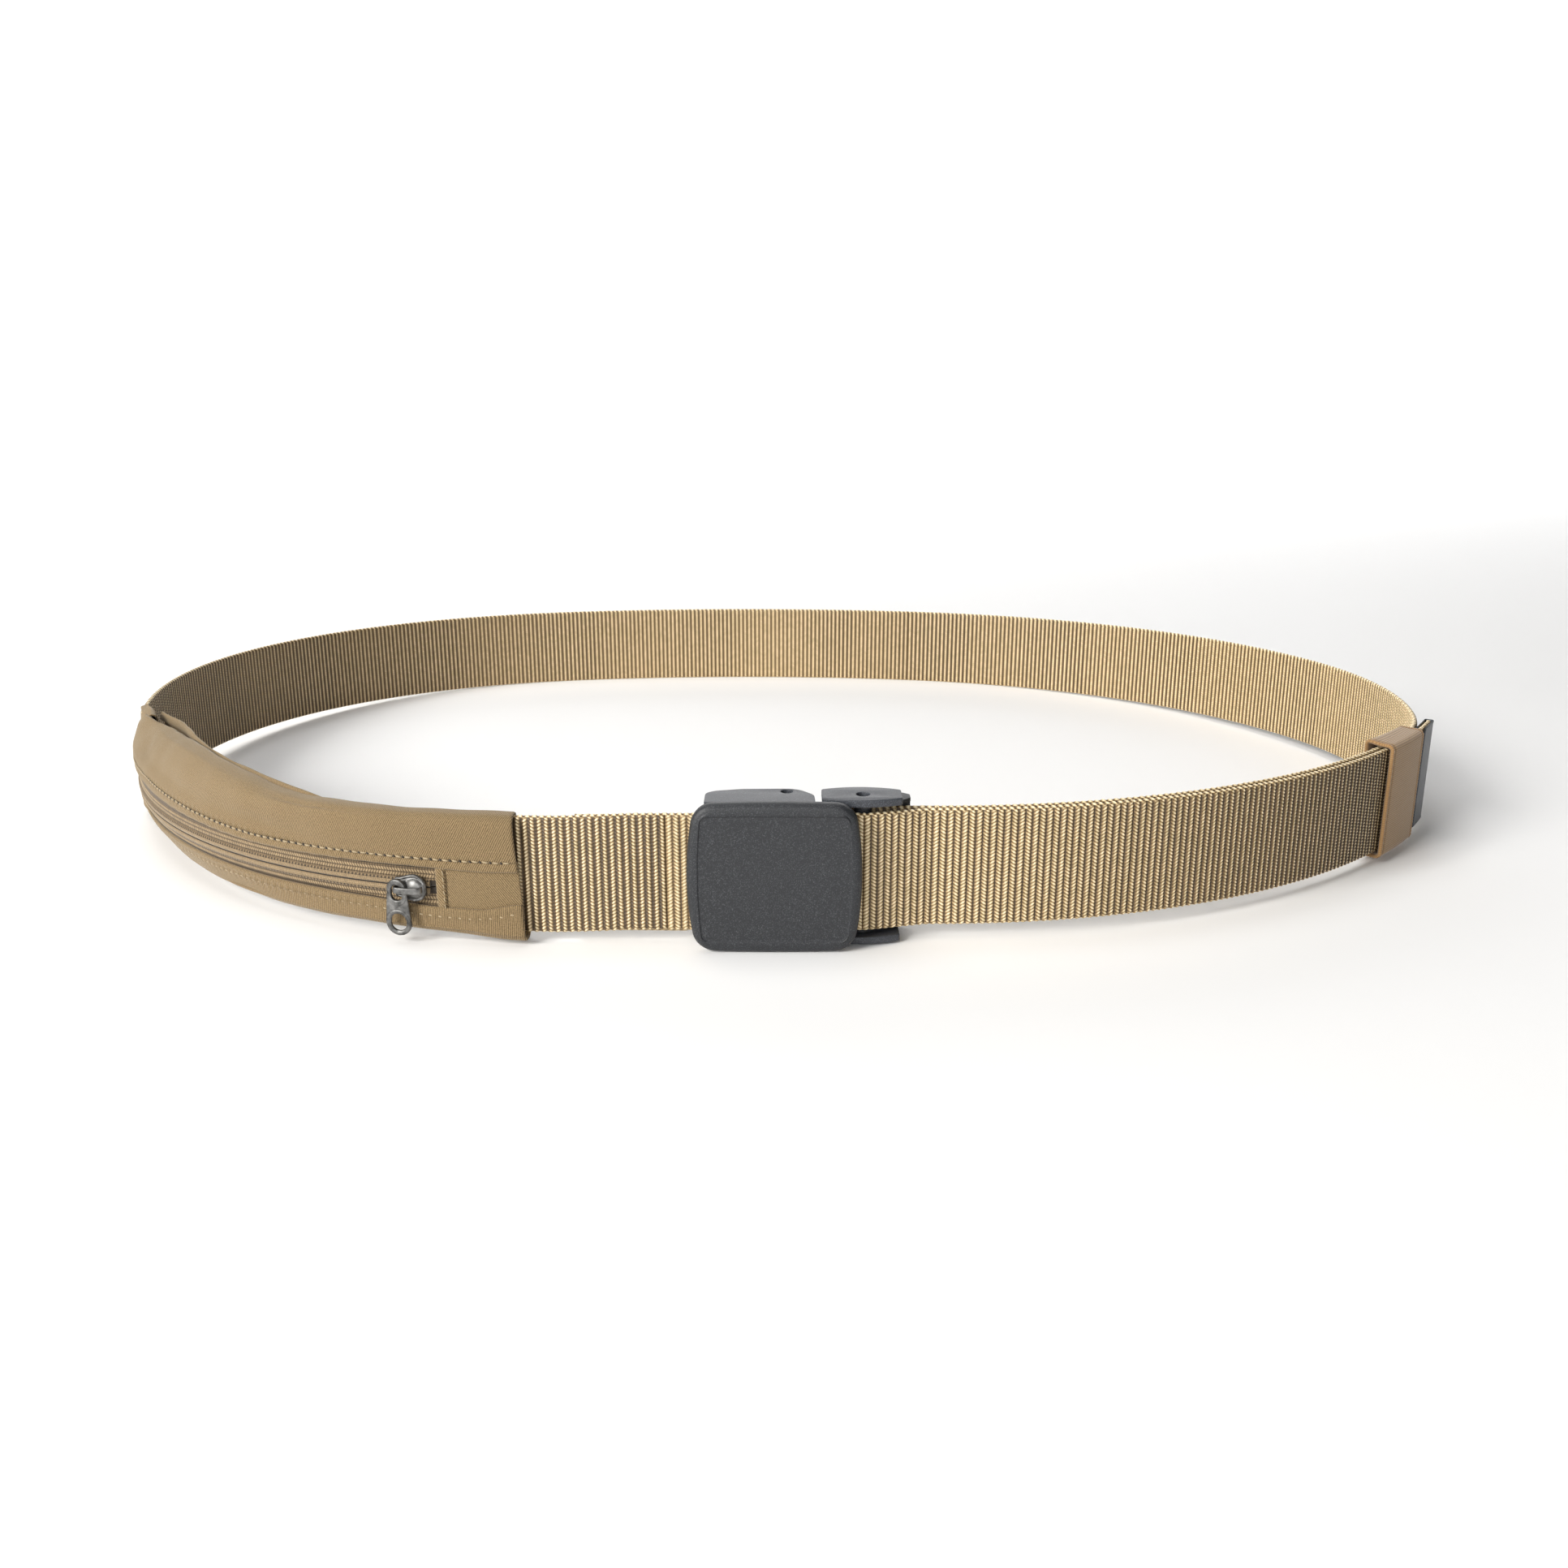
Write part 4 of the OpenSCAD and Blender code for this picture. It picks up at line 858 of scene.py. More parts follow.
row_of_stitches("topstitch_upper_row", lambda a: 21.6 + 0.25 * sin(a / 7.0) + float(lerp(a, *RISE)), 0.4, PDEG - 0.5, "topstitch_upper")
row_of_stitches("topstitch_lower_row", lambda a: 7.0 + float(lerp(a, *DIP)), 0.4, PDEG - 0.5, "topstitch_lower", d=3.68)
tab_st = []
for i in range(6):
    p, t, nn = pocket_frame(6.66, 3.62, 9.6 + i * 1.75)
    tab_st.append(bead(p, np.array([0, 0, 1]) + t * 0.25, nn, 0.0013, 0.00018))
stitch_object("tab_stitching", tab_st, THREAD, "strap", None)
stop = []
for i in range(9):
    p, t, nn = pocket_frame(PDEG - 3.4 + 0.07 * (i % 5) + 0.02 * i, 3.55 + 0.05 * (i % 2), 12.2 + i * 0.5)
    stop.append(bead(p, t + np.array([0, 0, 1]) * (0.6 if i % 2 else -0.6), nn, 0.0011, 0.0002))
stitch_object("zip_far_bartack", stop, THREAD, "strap", "zip_far_stop")

# ------------------------------------------------------------------ zip
ZC = 14.2
COILP = 1.02


def chevron(s, z, rowh=1.15, pitch=0.72):
    k = np.floor(z / rowh)
    fz = z / rowh - k
    sg = np.where(np.mod(k, 2) < 0.5, 1.0, -1.0)
    ph = s / pitch + sg * 0.75 * (fz - 0.5)
    r = np.floor(ph)
    st = 0.5 - 0.5 * np.cos(2 * pi * (ph - r))
    prof = np.clip(1 - np.abs(2 * fz - 1) ** 3, 0, 1)
    return prof * (0.25 + 0.75 * st), hash01(r, k)


def zip_side(sign, nm):
    a = np.linspace(6.1, PDEG - 3, int(radians(PDEG - 9.1) * PR / 0.18))
    s = np.radians(a) * PR
    zt = np.concatenate([[0.2, 0.9, 1.6], np.linspace(1.95, 7.4, 40)])
    h, v = chevron(s[:, None], zt[None, :], 1.10, 0.74)
    h = h * np.clip((zt - 1.6) / 0.3, 0, 1)[None, :]
    # painted shadow: where the tape runs in under the fabric lips, its weave is flattened and its colour darkened
    under = 5.0 - (lerp(a, *DIP) if sign < 0 else 0.0 * a)
    h = h * (1 - 0.9 * np.exp(-((zt[None, :] - under[:, None] + 0.05) / 0.30) ** 2))
    d = 2.72 + 0.17 * h + 0.05 * np.clip((zt - 1.6) / 0.3, 0, 1)[None, :]
    zz = ZC + sign * zt
    D = np.concatenate([d, np.full((len(a), 4), 2.45)], 1)
    Z = np.concatenate([np.broadcast_to(zz, d.shape), np.broadcast_to(ZC + sign * np.array([7.4, 5.0, 2.6, 0.2]), (len(a), 4))], 1)
    V = pk(a[:, None], D, Z)
    H = np.concatenate([h, np.zeros((len(a), 4))], 1)
    W = np.stack([H, np.concatenate([v, np.full((len(a), 4), 0.5)], 1), np.zeros_like(H)], -1)
    sc = np.stack([np.broadcast_to(s[:, None], H.shape), Z, np.zeros_like(H)], -1)
    ob = tube_grid(f"zip_tape_{nm}_woven", V, {"wv": W, "sc": sc}, [ZIP])
    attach(ob, "strap")
    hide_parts(f"zip_tape_{nm}")
    # ridge over the coil: tape turned over it, with its row of chain stitches
    a = np.linspace(7.9, PDEG - 3.2, int(radians(PDEG - 11.1) * PR / 0.13))
    s = np.radians(a) * PR
    t = np.linspace(0, pi, 15)
    zr = 0.06 + 0.96 * (1 - np.cos(t))                # from the middle line outwards
    hr = np.sin(t) ** 0.75
    tooth = 0.5 + 0.5 * np.cos(2 * pi * (s / COILP + (0.5 if sign > 0 else 0.0)))
    ch, v = chevron(s[:, None], zr[None, :] * 1.3, 0.62, 0.51)
    d = 2.80 + (0.52 + 0.05 * tooth)[:, None] * hr[None, :] + 0.07 * ch
    dots = np.exp(-((zr - 1.62) / 0.17) ** 2)[None, :] * (tooth ** 1.5)[:, None]
    # painted shade: the middle line between the two ridges is darkened
    gap_shade = np.exp(-((zr - 0.06) / 0.12) ** 2)[None, :] * np.ones_like(d)
    d = d - 0.22 * dots
    D = np.concatenate([d, np.full((len(a), 3), 2.5)], 1)
    Z = np.concatenate([np.broadcast_to(ZC + sign * zr, d.shape), np.broadcast_to(ZC + sign * np.array([1.9, 1.1, 0.2]), (len(a), 3))], 1)
    V = pk(a[:, None], D, Z)
    hh = np.clip(0.30 + 0.6 * ch - 1.3 * dots - 1.0 * gap_shade, 0, 1)
    H = np.concatenate([hh, np.zeros((len(a), 3))], 1)
    W = np.stack([H, np.concatenate([v, np.full((len(a), 3), 0.5)], 1), np.zeros_like(H)], -1)
    sc = np.stack([np.broadcast_to(s[:, None], H.shape), Z, np.full_like(H, 9.0)], -1)
    ob = tube_grid(f"zip_coil_{nm}_ridge", V, {"wv": W, "sc": sc}, [ZIP])
    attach(ob, "strap")
    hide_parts(f"zip_coil_{nm}")


zip_side(1, "upper")
zip_side(-1, "lower")

# slider, in the tangent frame of the pocket at its place
SA = PA0 + 9.6


def sl(u, d, w):
    """slider frame: u along the pocket away from the buckle, d outwards, w up from the zip's middle"""
    u, d, w = (np.asarray(v, float) for v in (u, d, w))
    px = L2[0] + (PR + d) * sd(SA) + u * cd(SA)
    py = L2[1] - (PR + d) * cd(SA) + u * sd(SA)
    return row(-px, py, ZC + w)


def dish(name, outline, centre, rings, height, back, mat, body, cad, slot):
    """a closed plate: outline (n,2) in (u,w); height(u, w, r) gives d of the front; back is its flat back"""
    n = len(outline)
    rr = np.asarray(rings)
    U = centre[0] + (outline[:, 0] - centre[0])[None] * rr[:, None]
    W = centre[1] + (outline[:, 1] - centre[1])[None] * rr[:, None]
    Dm = height(U, W, rr[:, None] * np.ones((1, n)))
    front = sl(U, Dm, W).reshape(-1, 3)
    rb = np.array([1.0, 0.97, 0.6])
    Ub = centre[0] + (outline[:, 0] - centre[0])[None] * rb[:, None]
    Wb = centre[1] + (outline[:, 1] - centre[1])[None] * rb[:, None]
    Db = back + np.array([0.18, 0.0, 0.0])[:, None] * np.ones((1, n))
    bk = sl(Ub, Db, Wb).reshape(-1, 3)
    V = np.concatenate([front, bk])
    m = len(rr)
    q = []
    order = list(range(m - 1, -1, -1)) + [m + i for i in range(3)]    # centre -> rim -> back rim -> back centre
    for i in range(len(order) - 1):
        for j in range(n):
            k = (j + 1) % n
            q.append((order[i] * n + j, order[i] * n + k, order[i + 1] * n + k, order[i + 1] * n + j))
    return mesh_of(name, V, q, [list((m - 1) * n + np.arange(n)), list((m + 2) * n + np.arange(n))[::-1]] if True else [], mats=[mat])


def smooth_outline(pts, n=120):
    P = np.array(pts + pts[:3], float)
    k = len(pts)
    t = np.linspace(0, k, n, endpoint=False)
    i = np.floor(t).astype(int)
    f = (t - i)[:, None]
    p0, p1, p2, p3 = P[i % k], P[(i + 1) % k], P[(i + 2) % k], P[(i + 3) % k]
    return 0.5 * (2 * p1 + (p2 - p0) * f + (2 * p0 - 5 * p1 + 4 * p2 - p3) * f ** 2 + (3 * p1 - p0 - 3 * p2 + p3) * f ** 3)


crown = smooth_outline([(-4.15, 0), (-3.9, 1.6), (-2.7, 3.0), (-1.0, 3.55), (0.9, 3.2), (2.6, 2.65), (4.0, 2.45), (4.2, 1.2),
                        (4.2, -1.2), (4.0, -2.45), (2.6, -2.65), (0.9, -3.2), (-1.0, -3.55), (-2.7, -3.0), (-3.9, -1.6)], 120)


def crown_h(U, W, r):
    h = 4.35 + 0.55 * np.sqrt(np.clip((1 - r) / 0.10, 0, 1)) - 0.16 * np.exp(-((r - 0.80) / 0.07) ** 2)
    dome = 1.15 * np.clip(1 - ((U + 1.25) / 2.7) ** 2 - (W / 2.55) ** 2, 0, 1) ** 0.62
    return h + dome * (r < 0.97)


def group(name, objs):
    """join several meshes into one piece"""
    bpy.ops.object.select_all(action="DESELECT")
    for o in objs:
        o.select_set(True)
    bpy.context.view_layer.objects.active = objs[0]
    bpy.ops.object.join()
    objs[0].name = name
    return objs[0]


def sweep(name, path, up, sec, mat, frame_fn, closed=True):
    """path (n,2) in (u,d) with the section's w and normal offsets sec (m,2)"""
    P = np.asarray(path, float)
    t = np.gradient(P, axis=0)
    t = t / np.linalg.norm(t, axis=1)[:, None]
    nrm = np.stack([-t[:, 1], t[:, 0]], -1)
    U = P[:, 0:1] + nrm[:, 0:1] * sec[None, :, 0]
    Dm = P[:, 1:2] + nrm[:, 1:2] * sec[None, :, 0]
    W = np.broadcast_to(sec[None, :, 1], U.shape)
    V = frame_fn(U, Dm, W)
    return tube_grid(name, V, mats=[mat])


def rsec(hw, hh, r, n=5):
    """rounded rectangle section: hh half thickness along the normal, hw half width"""
    out = []
    for cx, cy, a0 in ((hh - r, hw - r, 0), (-(hh - r), hw - r, 90), (-(hh - r), -(hw - r), 180), (hh - r, -(hw - r), 270)):
        for i in range(n):
            th = radians(a0 + 90 * i / (n - 1))
            out.append((cx + r * cos(th), cy + r * sin(th)))
    return np.array(out)


body1 = dish("slider_crown", crown, (-0.9, 0.0), np.array([1.0, 0.985, 0.96, 0.93, 0.90, 0.86, 0.82, 0.77, 0.71, 0.64, 0.56, 0.48, 0.40, 0.32, 0.24, 0.16, 0.08, 0.03]),
             crown_h, 4.0, NICKEL, "slider", None, "zip_metal")
wing = smooth_outline([(-3.6, 0), (-3.2, 2.0), (-1.5, 2.9), (1.5, 2.9), (3.6, 2.4), (4.0, 0), (3.6, -2.4), (1.5, -2.9), (-1.5, -2.9), (-3.2, -2.0)], 80)
body2 = dish("slider_wing", wing, (0.0, 0.0), np.array([1.0, 0.97, 0.9, 0.6, 0.2]), lambda U, W, r: 2.0 + 0.15 * np.clip((1 - r) / 0.1, 0, 1), 1.55, NICKEL, "slider", None, "zip_metal")
post = sweep("slider_post", [(-3.0, 1.8), (-3.0, 2.6), (-3.0, 3.4), (-3.0, 4.4)], None, rsec(0.18, 0.5, 0.15), NICKEL, sl)
bail_path = spline(np.array([(-3.1, 4.6), (-3.25, 5.6), (-2.7, 6.45), (-1.5, 6.85), (0.2, 7.05), (1.9, 7.1), (2.9, 6.95), (3.35, 6.45), (3.35, 5.6), (3.25, 4.6)]), 60)
sec = rsec(0.78, 0.30, 0.22)
bail = sweep("slider_bail", bail_path, None, sec, NICKEL, sl)
slider = group("zip_slider_body", [body1, body2, post, bail])
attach(slider, "slider")
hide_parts("zip_slider")


# ------------------------------------------------------------------ flat plates with rounded edges
def circle_pts(cx, cy, r, n=48, a0=0):
    return [(cx + r * cos(2 * pi * i / n + a0), cy + r * sin(2 * pi * i / n + a0)) for i in range(n)]


def prism(name, outlines, thick, bevel, res=3):
    """outlines (first the outside, then holes) in mm in its own XY plane, centred on z = 0; edges rounded"""
    cu = bpy.data.curves.new(name, "CURVE")
    cu.dimensions = "2D"
    cu.fill_mode = "BOTH"
    cu.extrude = (thick / 2 - bevel) / 1000
    cu.bevel_depth = bevel / 1000
    cu.bevel_resolution = res
    cu.offset = -bevel / 1000
    for pts in outlines:
        sp = cu.splines.new("POLY")
        sp.points.add(len(pts) - 1)
        sp.points.foreach_set("co", np.array([(x / 1000, y / 1000, 0, 1) for x, y in pts], np.float32).ravel())
        sp.use_cyclic_u = True
    tmp = bpy.data.objects.new(name, cu)
    bpy.context.scene.collection.objects.link(tmp)
    dg = bpy.context.evaluated_depsgraph_get()
    me = bpy.data.meshes.new_from_object(tmp.evaluated_get(dg), depsgraph=dg)
    bpy.data.objects.remove(tmp)
    bpy.data.curves.remove(cu)
    bm = bmesh.new()
    bm.from_mesh(me)
    bmesh.ops.remove_doubles(bm, verts=bm.verts, dist=1e-6)
    bmesh.ops.recalc_face_normals(bm, faces=bm.faces)
    bm.to_mesh(me)
    bm.free()
    me.shade_smooth()
    me.set_sharp_from_angle(angle=radians(50))
    ob = bpy.data.objects.new(name, me)
    bpy.context.scene.collection.objects.link(ob)
    me.materials.clear()
    return ob


def rounded(pts, r, n=5):
    """polygon with its corners rounded"""
    out, k = [], len(pts)
    for i in range(k):
        p0, p1, p2 = (Vector(pts[j % k]) for j in (i - 1, i, i + 1))
        a, b = (p0 - p1), (p2 - p1)
        rr = min(r, a.length * 0.45, b.length * 0.45)
        q0, q1 = p1 + a.normalized() * rr, p1 + b.normalized() * rr
        for j in range(n + 1):
            t = j / n
            q = q0 * (1 - t) ** 2 + p1 * 2 * t * (1 - t) + q1 * t ** 2
            out.append((q.x, q.y))
    return out


# puller: tangent outline of the ring end and the wide end
def hull_outline(c0, r0, c1, r1, n=28):
    d = c0[1] - c1[1]
    al = np.arcsin((r1 - r0) / d)
    up = [(c0[0] + r0 * cos(t), c0[1] + r0 * sin(t)) for t in np.linspace(-al, pi + al, n)]
    dn = [(c1[0] + r1 * cos(t), c1[1] + r1 * sin(t)) for t in np.linspace(pi + al, 2 * pi - al, n)]
    return up + dn


def oval(cx, cy, w, h, r, n=8):
    out = []
    for sx, sy, a0 in ((1, 1, 0), (-1, 1, 90), (-1, -1, 180), (1, -1, 270)):
        for i in range(n + 1):
            th = radians(a0 + 90 * i / n)
            out.append((cx + sx * (w / 2 - r) + r * cos(th), cy + sy * (h / 2 - r) + r * sin(th)))
    return out


ho = hull_outline((0, 0), 2.6, (0, -8.7), 3.4)
base = prism("pull_base", [ho, oval(0, -0.95, 2.9, 3.9, 1.4), oval(0, -8.6, 4.1, 4.4, 1.95)], 0.78, 0.26)
rim1 = prism("pull_rim", [hull_outline((0, 0), 2.58, (0, -1.8), 2.6), oval(0, -0.95, 2.95, 3.95, 1.42)], 1.08, 0.34)
rim2 = prism("pull_rim2", [oval(0, -8.65, 6.7, 6.7, 3.3, 14), oval(0, -8.6, 4.4, 4.7, 2.15, 12)], 1.08, 0.36)
pull = group("zip_puller_tab", [base, rim1, rim2])
h_s = radians(SA)
# puller plane: x -> +u (away from the buckle), y -> up, z -> outwards
u_dir = Vector((-cos(h_s), sin(h_s), 0))
n_dir = Vector((-sin(h_s), -cos(h_s), 0))
o_pt = Vector([float(v) for v in sl(2.9, 3.8 - 0.8 - 0.65 + 0.6 + 1.1 + 0.9 + 0.55 + 0.55, 0.0)])
pull.data.transform(Matrix(((u_dir.x, 0, n_dir.x, o_pt.x), (u_dir.y, 0, n_dir.y, o_pt.y), (0, 1, 0, o_pt.z), (0, 0, 0, 1))))
pull.data.flip_normals() if (u_dir.cross(Vector((0, 0, 1)))).dot(n_dir) < 0 else None
pull.data.materials.append(NICKEL)
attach(pull, "puller")
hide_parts("zip_puller")


# ------------------------------------------------------------------ buckle
def super_outline(w, h, r, bulge_side, bulge_top, n=64):
    """rounded rectangle with bulged sides: w and h at the middle of each side"""
    cxs = []
    hw, hh = w / 2, h / 2
    # corner points before bulging
    cw, ch = hw - bulge_side, hh - bulge_top
    base = []
    seg = n // 4
    corners = ((cw - r, ch - r, 0), (-(cw - r), ch - r, 90), (-(cw - r), -(ch - r), 180), (cw - r, -(ch - r), 270))
    for ci, (cx, cy, a0) in enumerate(corners):
        for i in range(9):
            th = radians(a0 + 90 * i / 8)
            base.append((cx + r * cos(th), cy + r * sin(th)))
        nx = corners[(ci + 1) % 4]
        p = base[-1]
        th = radians(a0 + 90)
        q = (nx[0] + r * cos(th), nx[1] + r * sin(th))
        for i in range(1, seg):
            t = i / seg
            base.append((p[0] + (q[0] - p[0]) * t, p[1] + (q[1] - p[1]) * t))
    out = []
    for x, y in base:
        fx = 1 - min(1, abs(y) / ch) ** 2
        fy = 1 - min(1, abs(x) / cw) ** 2
        out.append((x + np.sign(x) * bulge_side * fx * min(1, abs(x) / (cw * 0.9)) ** 2,
                    y + np.sign(y) * bulge_top * fy * min(1, abs(y) / (ch * 0.9)) ** 2))
    return np.array(out)


outer = super_outline(PLATE_W, PLATE_H, 4.4, 2.0, 0.45, 96)
inner = super_outline(36.9, 31.9, 1.3, 0.9, 0.15, 96)
ZCEN = PLATE_H / 2


def shrink(P, t):
    """outline moved inwards by t, roughly, along its normals"""
    g = np.roll(P, -1, 0) - np.roll(P, 1, 0)
    g = g / (np.linalg.norm(g, axis=1)[:, None] + 1e-12)
    nrm = np.stack([g[:, 1], -g[:, 0]], -1)
    return P - nrm * t


prof = [(0.9, -3.8), (0.35, -3.8), (0.1, -3.9), (0.0, -4.15), (0.0, -5.25), (0.05, -5.7), (0.22, -6.12), (0.5, -6.48), (0.9, -6.74), (1.4, -6.90), (1.95, -6.97)]
loops, ys = [], []
for t, y in prof:
    loops.append(shrink(outer, t))
    ys.append(y)
last = shrink(outer, 1.95)
inn = inner
for f, y in ((0.35, -7.0), (0.72, -7.0), (0.93, -6.99)):
    loops.append(last * (1 - f) + shrink(inn, -0.12) * f)
    ys.append(y)
for t, y in ((-0.12, -6.985), (-0.02, -6.93), (0.05, -6.80), (0.14, -6.75), (0.35, -6.745)):
    loops.append(shrink(inn, t))
    ys.append(y)
base_in = shrink(inn, 0.35)
for f in (0.93, 0.84, 0.72, 0.58, 0.42, 0.26, 0.12):
    loops.append(base_in * f)
    ys.append(-6.745 - 0.10 * (1 - f) ** 1.0)      # faint crown
nl, no_ = len(loops), len(outer)
V = np.concatenate([row(L[:, 0], np.minimum(y, -3.8 - 2.3 * np.clip((-16.9 - L[:, 0]) / 5.1, 0, 1)) if y > -6.3 else np.full(no_, y), ZCEN + L[:, 1])
                    for L, y in zip(loops, ys)])
q = []
for i in range(nl - 1):
    for j in range(no_):
        k = (j + 1) % no_
        q.append((i * no_ + j, i * no_ + k, (i + 1) * no_ + k, (i + 1) * no_ + j))
half = [(no_ - 12 + i) % no_ for i in range(no_ // 2 + 1)]
back = []
for i, k in zip(half[:-1], half[1:]):
    mi, mk = (no_ - 24 - i) % no_, (no_ - 24 - k) % no_
    back.append(list(dict.fromkeys([mi, mk, k, i])))
plate = mesh_of("buckle_plate", V, q, back + [list((nl - 1) * no_ + np.arange(no_))], mats=[PLASTIC])

cheek_pts = rounded([(-16.8, -3.9), (9.8, -3.9), (9.6, 2.4), (6.4, 6.3), (4, 7.4), (-8, 7.2), (-14.8, 5.6), (-16.8, 3.8)], 1.2, 6)


def hplate(name, outlines, z0, z1, bevel, mat):
    ob = prism(name, outlines, z1 - z0, bevel)
    ob.data.transform(Matrix.Translation((-ORG[0] / 1000, -ORG[1] / 1000, (z0 + z1) / 2000)))
    ob.data.materials.append(mat)
    return ob


cheeks = []
for z in (0.45, PLATE_H - 0.45 - 1.9):
    cheeks.append(hplate("cheek", [cheek_pts, circle_pts(LATCH[0], LATCH[1], 1.5)], z, z + 1.9, 0.22, PLASTIC_LIT))
rib1 = hplate("plate_rib", [rounded([(-13, -4.0), (9.4, -4.0), (9.4, -3.1), (-13, -3.1)], 0.3)], 2.0, 35.0, 0.1, PLASTIC)
cover = group("buckle_cover_shell", [plate] + cheeks + [rib1])
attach(cover, "cover")
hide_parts("buckle_cover")


def cad_copy(name, cad, width, mat, body, seg=2, angle=35):
    """a copy of a CAD node with its sharp edges rounded a little"""
    me = nodes[cad].data.copy()
    bm = bmesh.new()
    bm.from_mesh(me)
    bmesh.ops.remove_doubles(bm, verts=bm.verts, dist=2e-6)
    bmesh.ops.dissolve_limit(bm, angle_limit=radians(2.0), verts=bm.verts, edges=bm.edges)
    es = [e for e in bm.edges if len(e.link_faces) == 2 and e.calc_face_angle(0) > radians(angle)]
    bmesh.ops.bevel(bm, geom=es, offset=width / 1000, segments=seg, profile=0.6, affect="EDGES", clamp_overlap=True, offset_type="OFFSET")
    bmesh.ops.triangulate(bm, faces=[f for f in bm.faces if len(f.verts) > 4])
    bm.to_mesh(me)
    bm.free()
    me.materials.clear()
    me.materials.append(mat)
    me.shade_smooth()
    me.set_sharp_from_angle(angle=radians(40))
    ob = bpy.data.objects.new(name, me)
    bpy.context.scene.collection.objects.link(ob)
    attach(ob, body)
    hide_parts(cad)
    return ob


def lens_outline(n=40):
    c0, c1, R = (20.7, 3.2 + 18.6), (20.7, 3.2 - 18.6), 24.2
    out = []
    for x in np.linspace(30.8, 11.4, n):
        out.append((x, c1[1] + (R ** 2 - (x - c1[0]) ** 2) ** 0.5))
    for x in np.linspace(11.4, 30.8, n):
        out.append((x, c0[1] - (R ** 2 - (x - c0[0]) ** 2) ** 0.5))
    return out


ear_parts = []
for z in (0.45, PLATE_H - 0.45 - 1.9):
    ear_parts.append(hplate("ear", [rounded(lens_outline(24), 0.9, 2), circle_pts(ADJ[0], ADJ[1], 1.65)], z, z + 1.9, 0.28, PLASTIC_LIT))
hook = []
hp = [(-0.6, 2.4), (0.3, 2.2), (1.5, 3.2), (1.62, 5.0)]
for t in np.linspace(180, 0, 9):          # round the latch pin, open outwards
    hp.append((LATCH[0] + 1.38 * cos(radians(t)), LATCH[1] + 1.38 * sin(radians(t))))
hp += [(5.15, 5.0), (6.0, 4.6), (7.9, 4.2), (8, -1.2), (13, -2.6), (16.6, -2.6)]
for t in np.linspace(228, 132, 13):       # clear of the turn of webbing
    hp.append((ADJ[0] + 3.95 * cos(radians(t)), ADJ[1] + 3.95 * sin(radians(t))))
hp += [(18.0, 9.2), (11.5, 9.4), (8.2, 10.2), (2.6, 10.4), (-0.6, 8.8)]
ear_parts.append(hplate("hook", [rounded(hp, 0.35, 2)], 4.5, 33.5, 0.2, PLASTIC))
for z in (2.3, 33.45):
    ear_parts.append(hplate("web", [rounded([(12.0, -1.6), (17.0, -1.6), (17.0, 7.0), (12.0, 7.0)], 0.4)], z, z + 2.25, 0.1, PLASTIC))
adj = group("buckle_adjuster_frame", ear_parts)
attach(adj, "strap")
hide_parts("adjuster_frame")
cad_copy("buckle_clamp_lever", "clamp_lever", 0.30, PLASTIC, "lever", seg=3)


def pin(name, cad, p, z0, z1, r, body):
    """turned pin with domed ends"""
    prof = [(0.02, z0), (r * 0.55, z0 + 0.03), (r * 0.85, z0 + 0.12), (r, z0 + 0.35), (r, z0 + 1.0)]
    prof += [(r * (1 - 0.004 * (i % 2)), z0 + 1.0 + (z1 - z0 - 2.0) * i / 12) for i in range(1, 12)]
    prof += [(r, z1 - 1.0), (r, z1 - 0.35), (r * 0.85, z1 - 0.12), (r * 0.55, z1 - 0.03), (0.02, z1)]
    th = np.arange(32) * 2 * pi / 32
    V = np.stack([row(p[0] + rr * np.cos(th), p[1] + rr * np.sin(th), np.full(32, zz)) for rr, zz in prof])
    ob = tube_grid(name, V, mats=[STEEL])
    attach(ob, body)
    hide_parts(cad)


pin("pin_cover_bar", "cover_bar", BAR, 1.3, PLATE_H - 1.3, 1.22, "cover")
pin("pin_latch", "latch_pin", LATCH, 1.7, PLATE_H - 1.7, 1.25, "cover")
pin("pin_adjuster", "adjuster_pin", ADJ, 1.5, PLATE_H - 1.5, 1.25, "strap")

# ------------------------------------------------------------------ keeper
KA, KW = 48.2, 24.0
KH = degrees(KW / 2 / (R1[2] + 3))
KD0, KD1, KZ0, KZ1, KT = -1.15, 3.75, 3.0, 34.0, 1.2


def keeper_line(off, n_side=(150, 26), r=0.7):
    """closed section line at offset off outside the opening, in (d, z), starting at the middle of the outer face"""
    x0, x1, z0, z1 = KD0 - off, KD1 + off, KZ0 - off, KZ1 + off
    rr = r + off
    pts = []
    zc = (z0 + z1) / 2

    def seg(p, q, n):
        for i in range(n):
            t = i / n
            pts.append((p[0] + (q[0] - p[0]) * t, p[1] + (q[1] - p[1]) * t))

    def corner(cx, cy, a0, n=12):
        for i in range(n):
            th = radians(a0 + 90 * i / n)
            pts.append((cx + rr * cos(th), cy + rr * sin(th)))
    seg((x1, zc), (x1, z1 - rr), n_side[0] // 2)
    corner(x1 - rr, z1 - rr, 0)
    seg((x1 - rr, z1), (x0 + rr, z1), n_side[1])
    corner(x0 + rr, z1 - rr, 90)
    seg((x0, z1 - rr), (x0, z0 + rr), n_side[0])
    corner(x0 + rr, z0 + rr, 180)
    seg((x0 + rr, z0), (x1 - rr, z0), n_side[1])
    corner(x1 - rr, z0 + rr, 270)
    seg((x1, z0 + rr), (x1, zc), n_side[0] // 2)
    return np.array(pts)


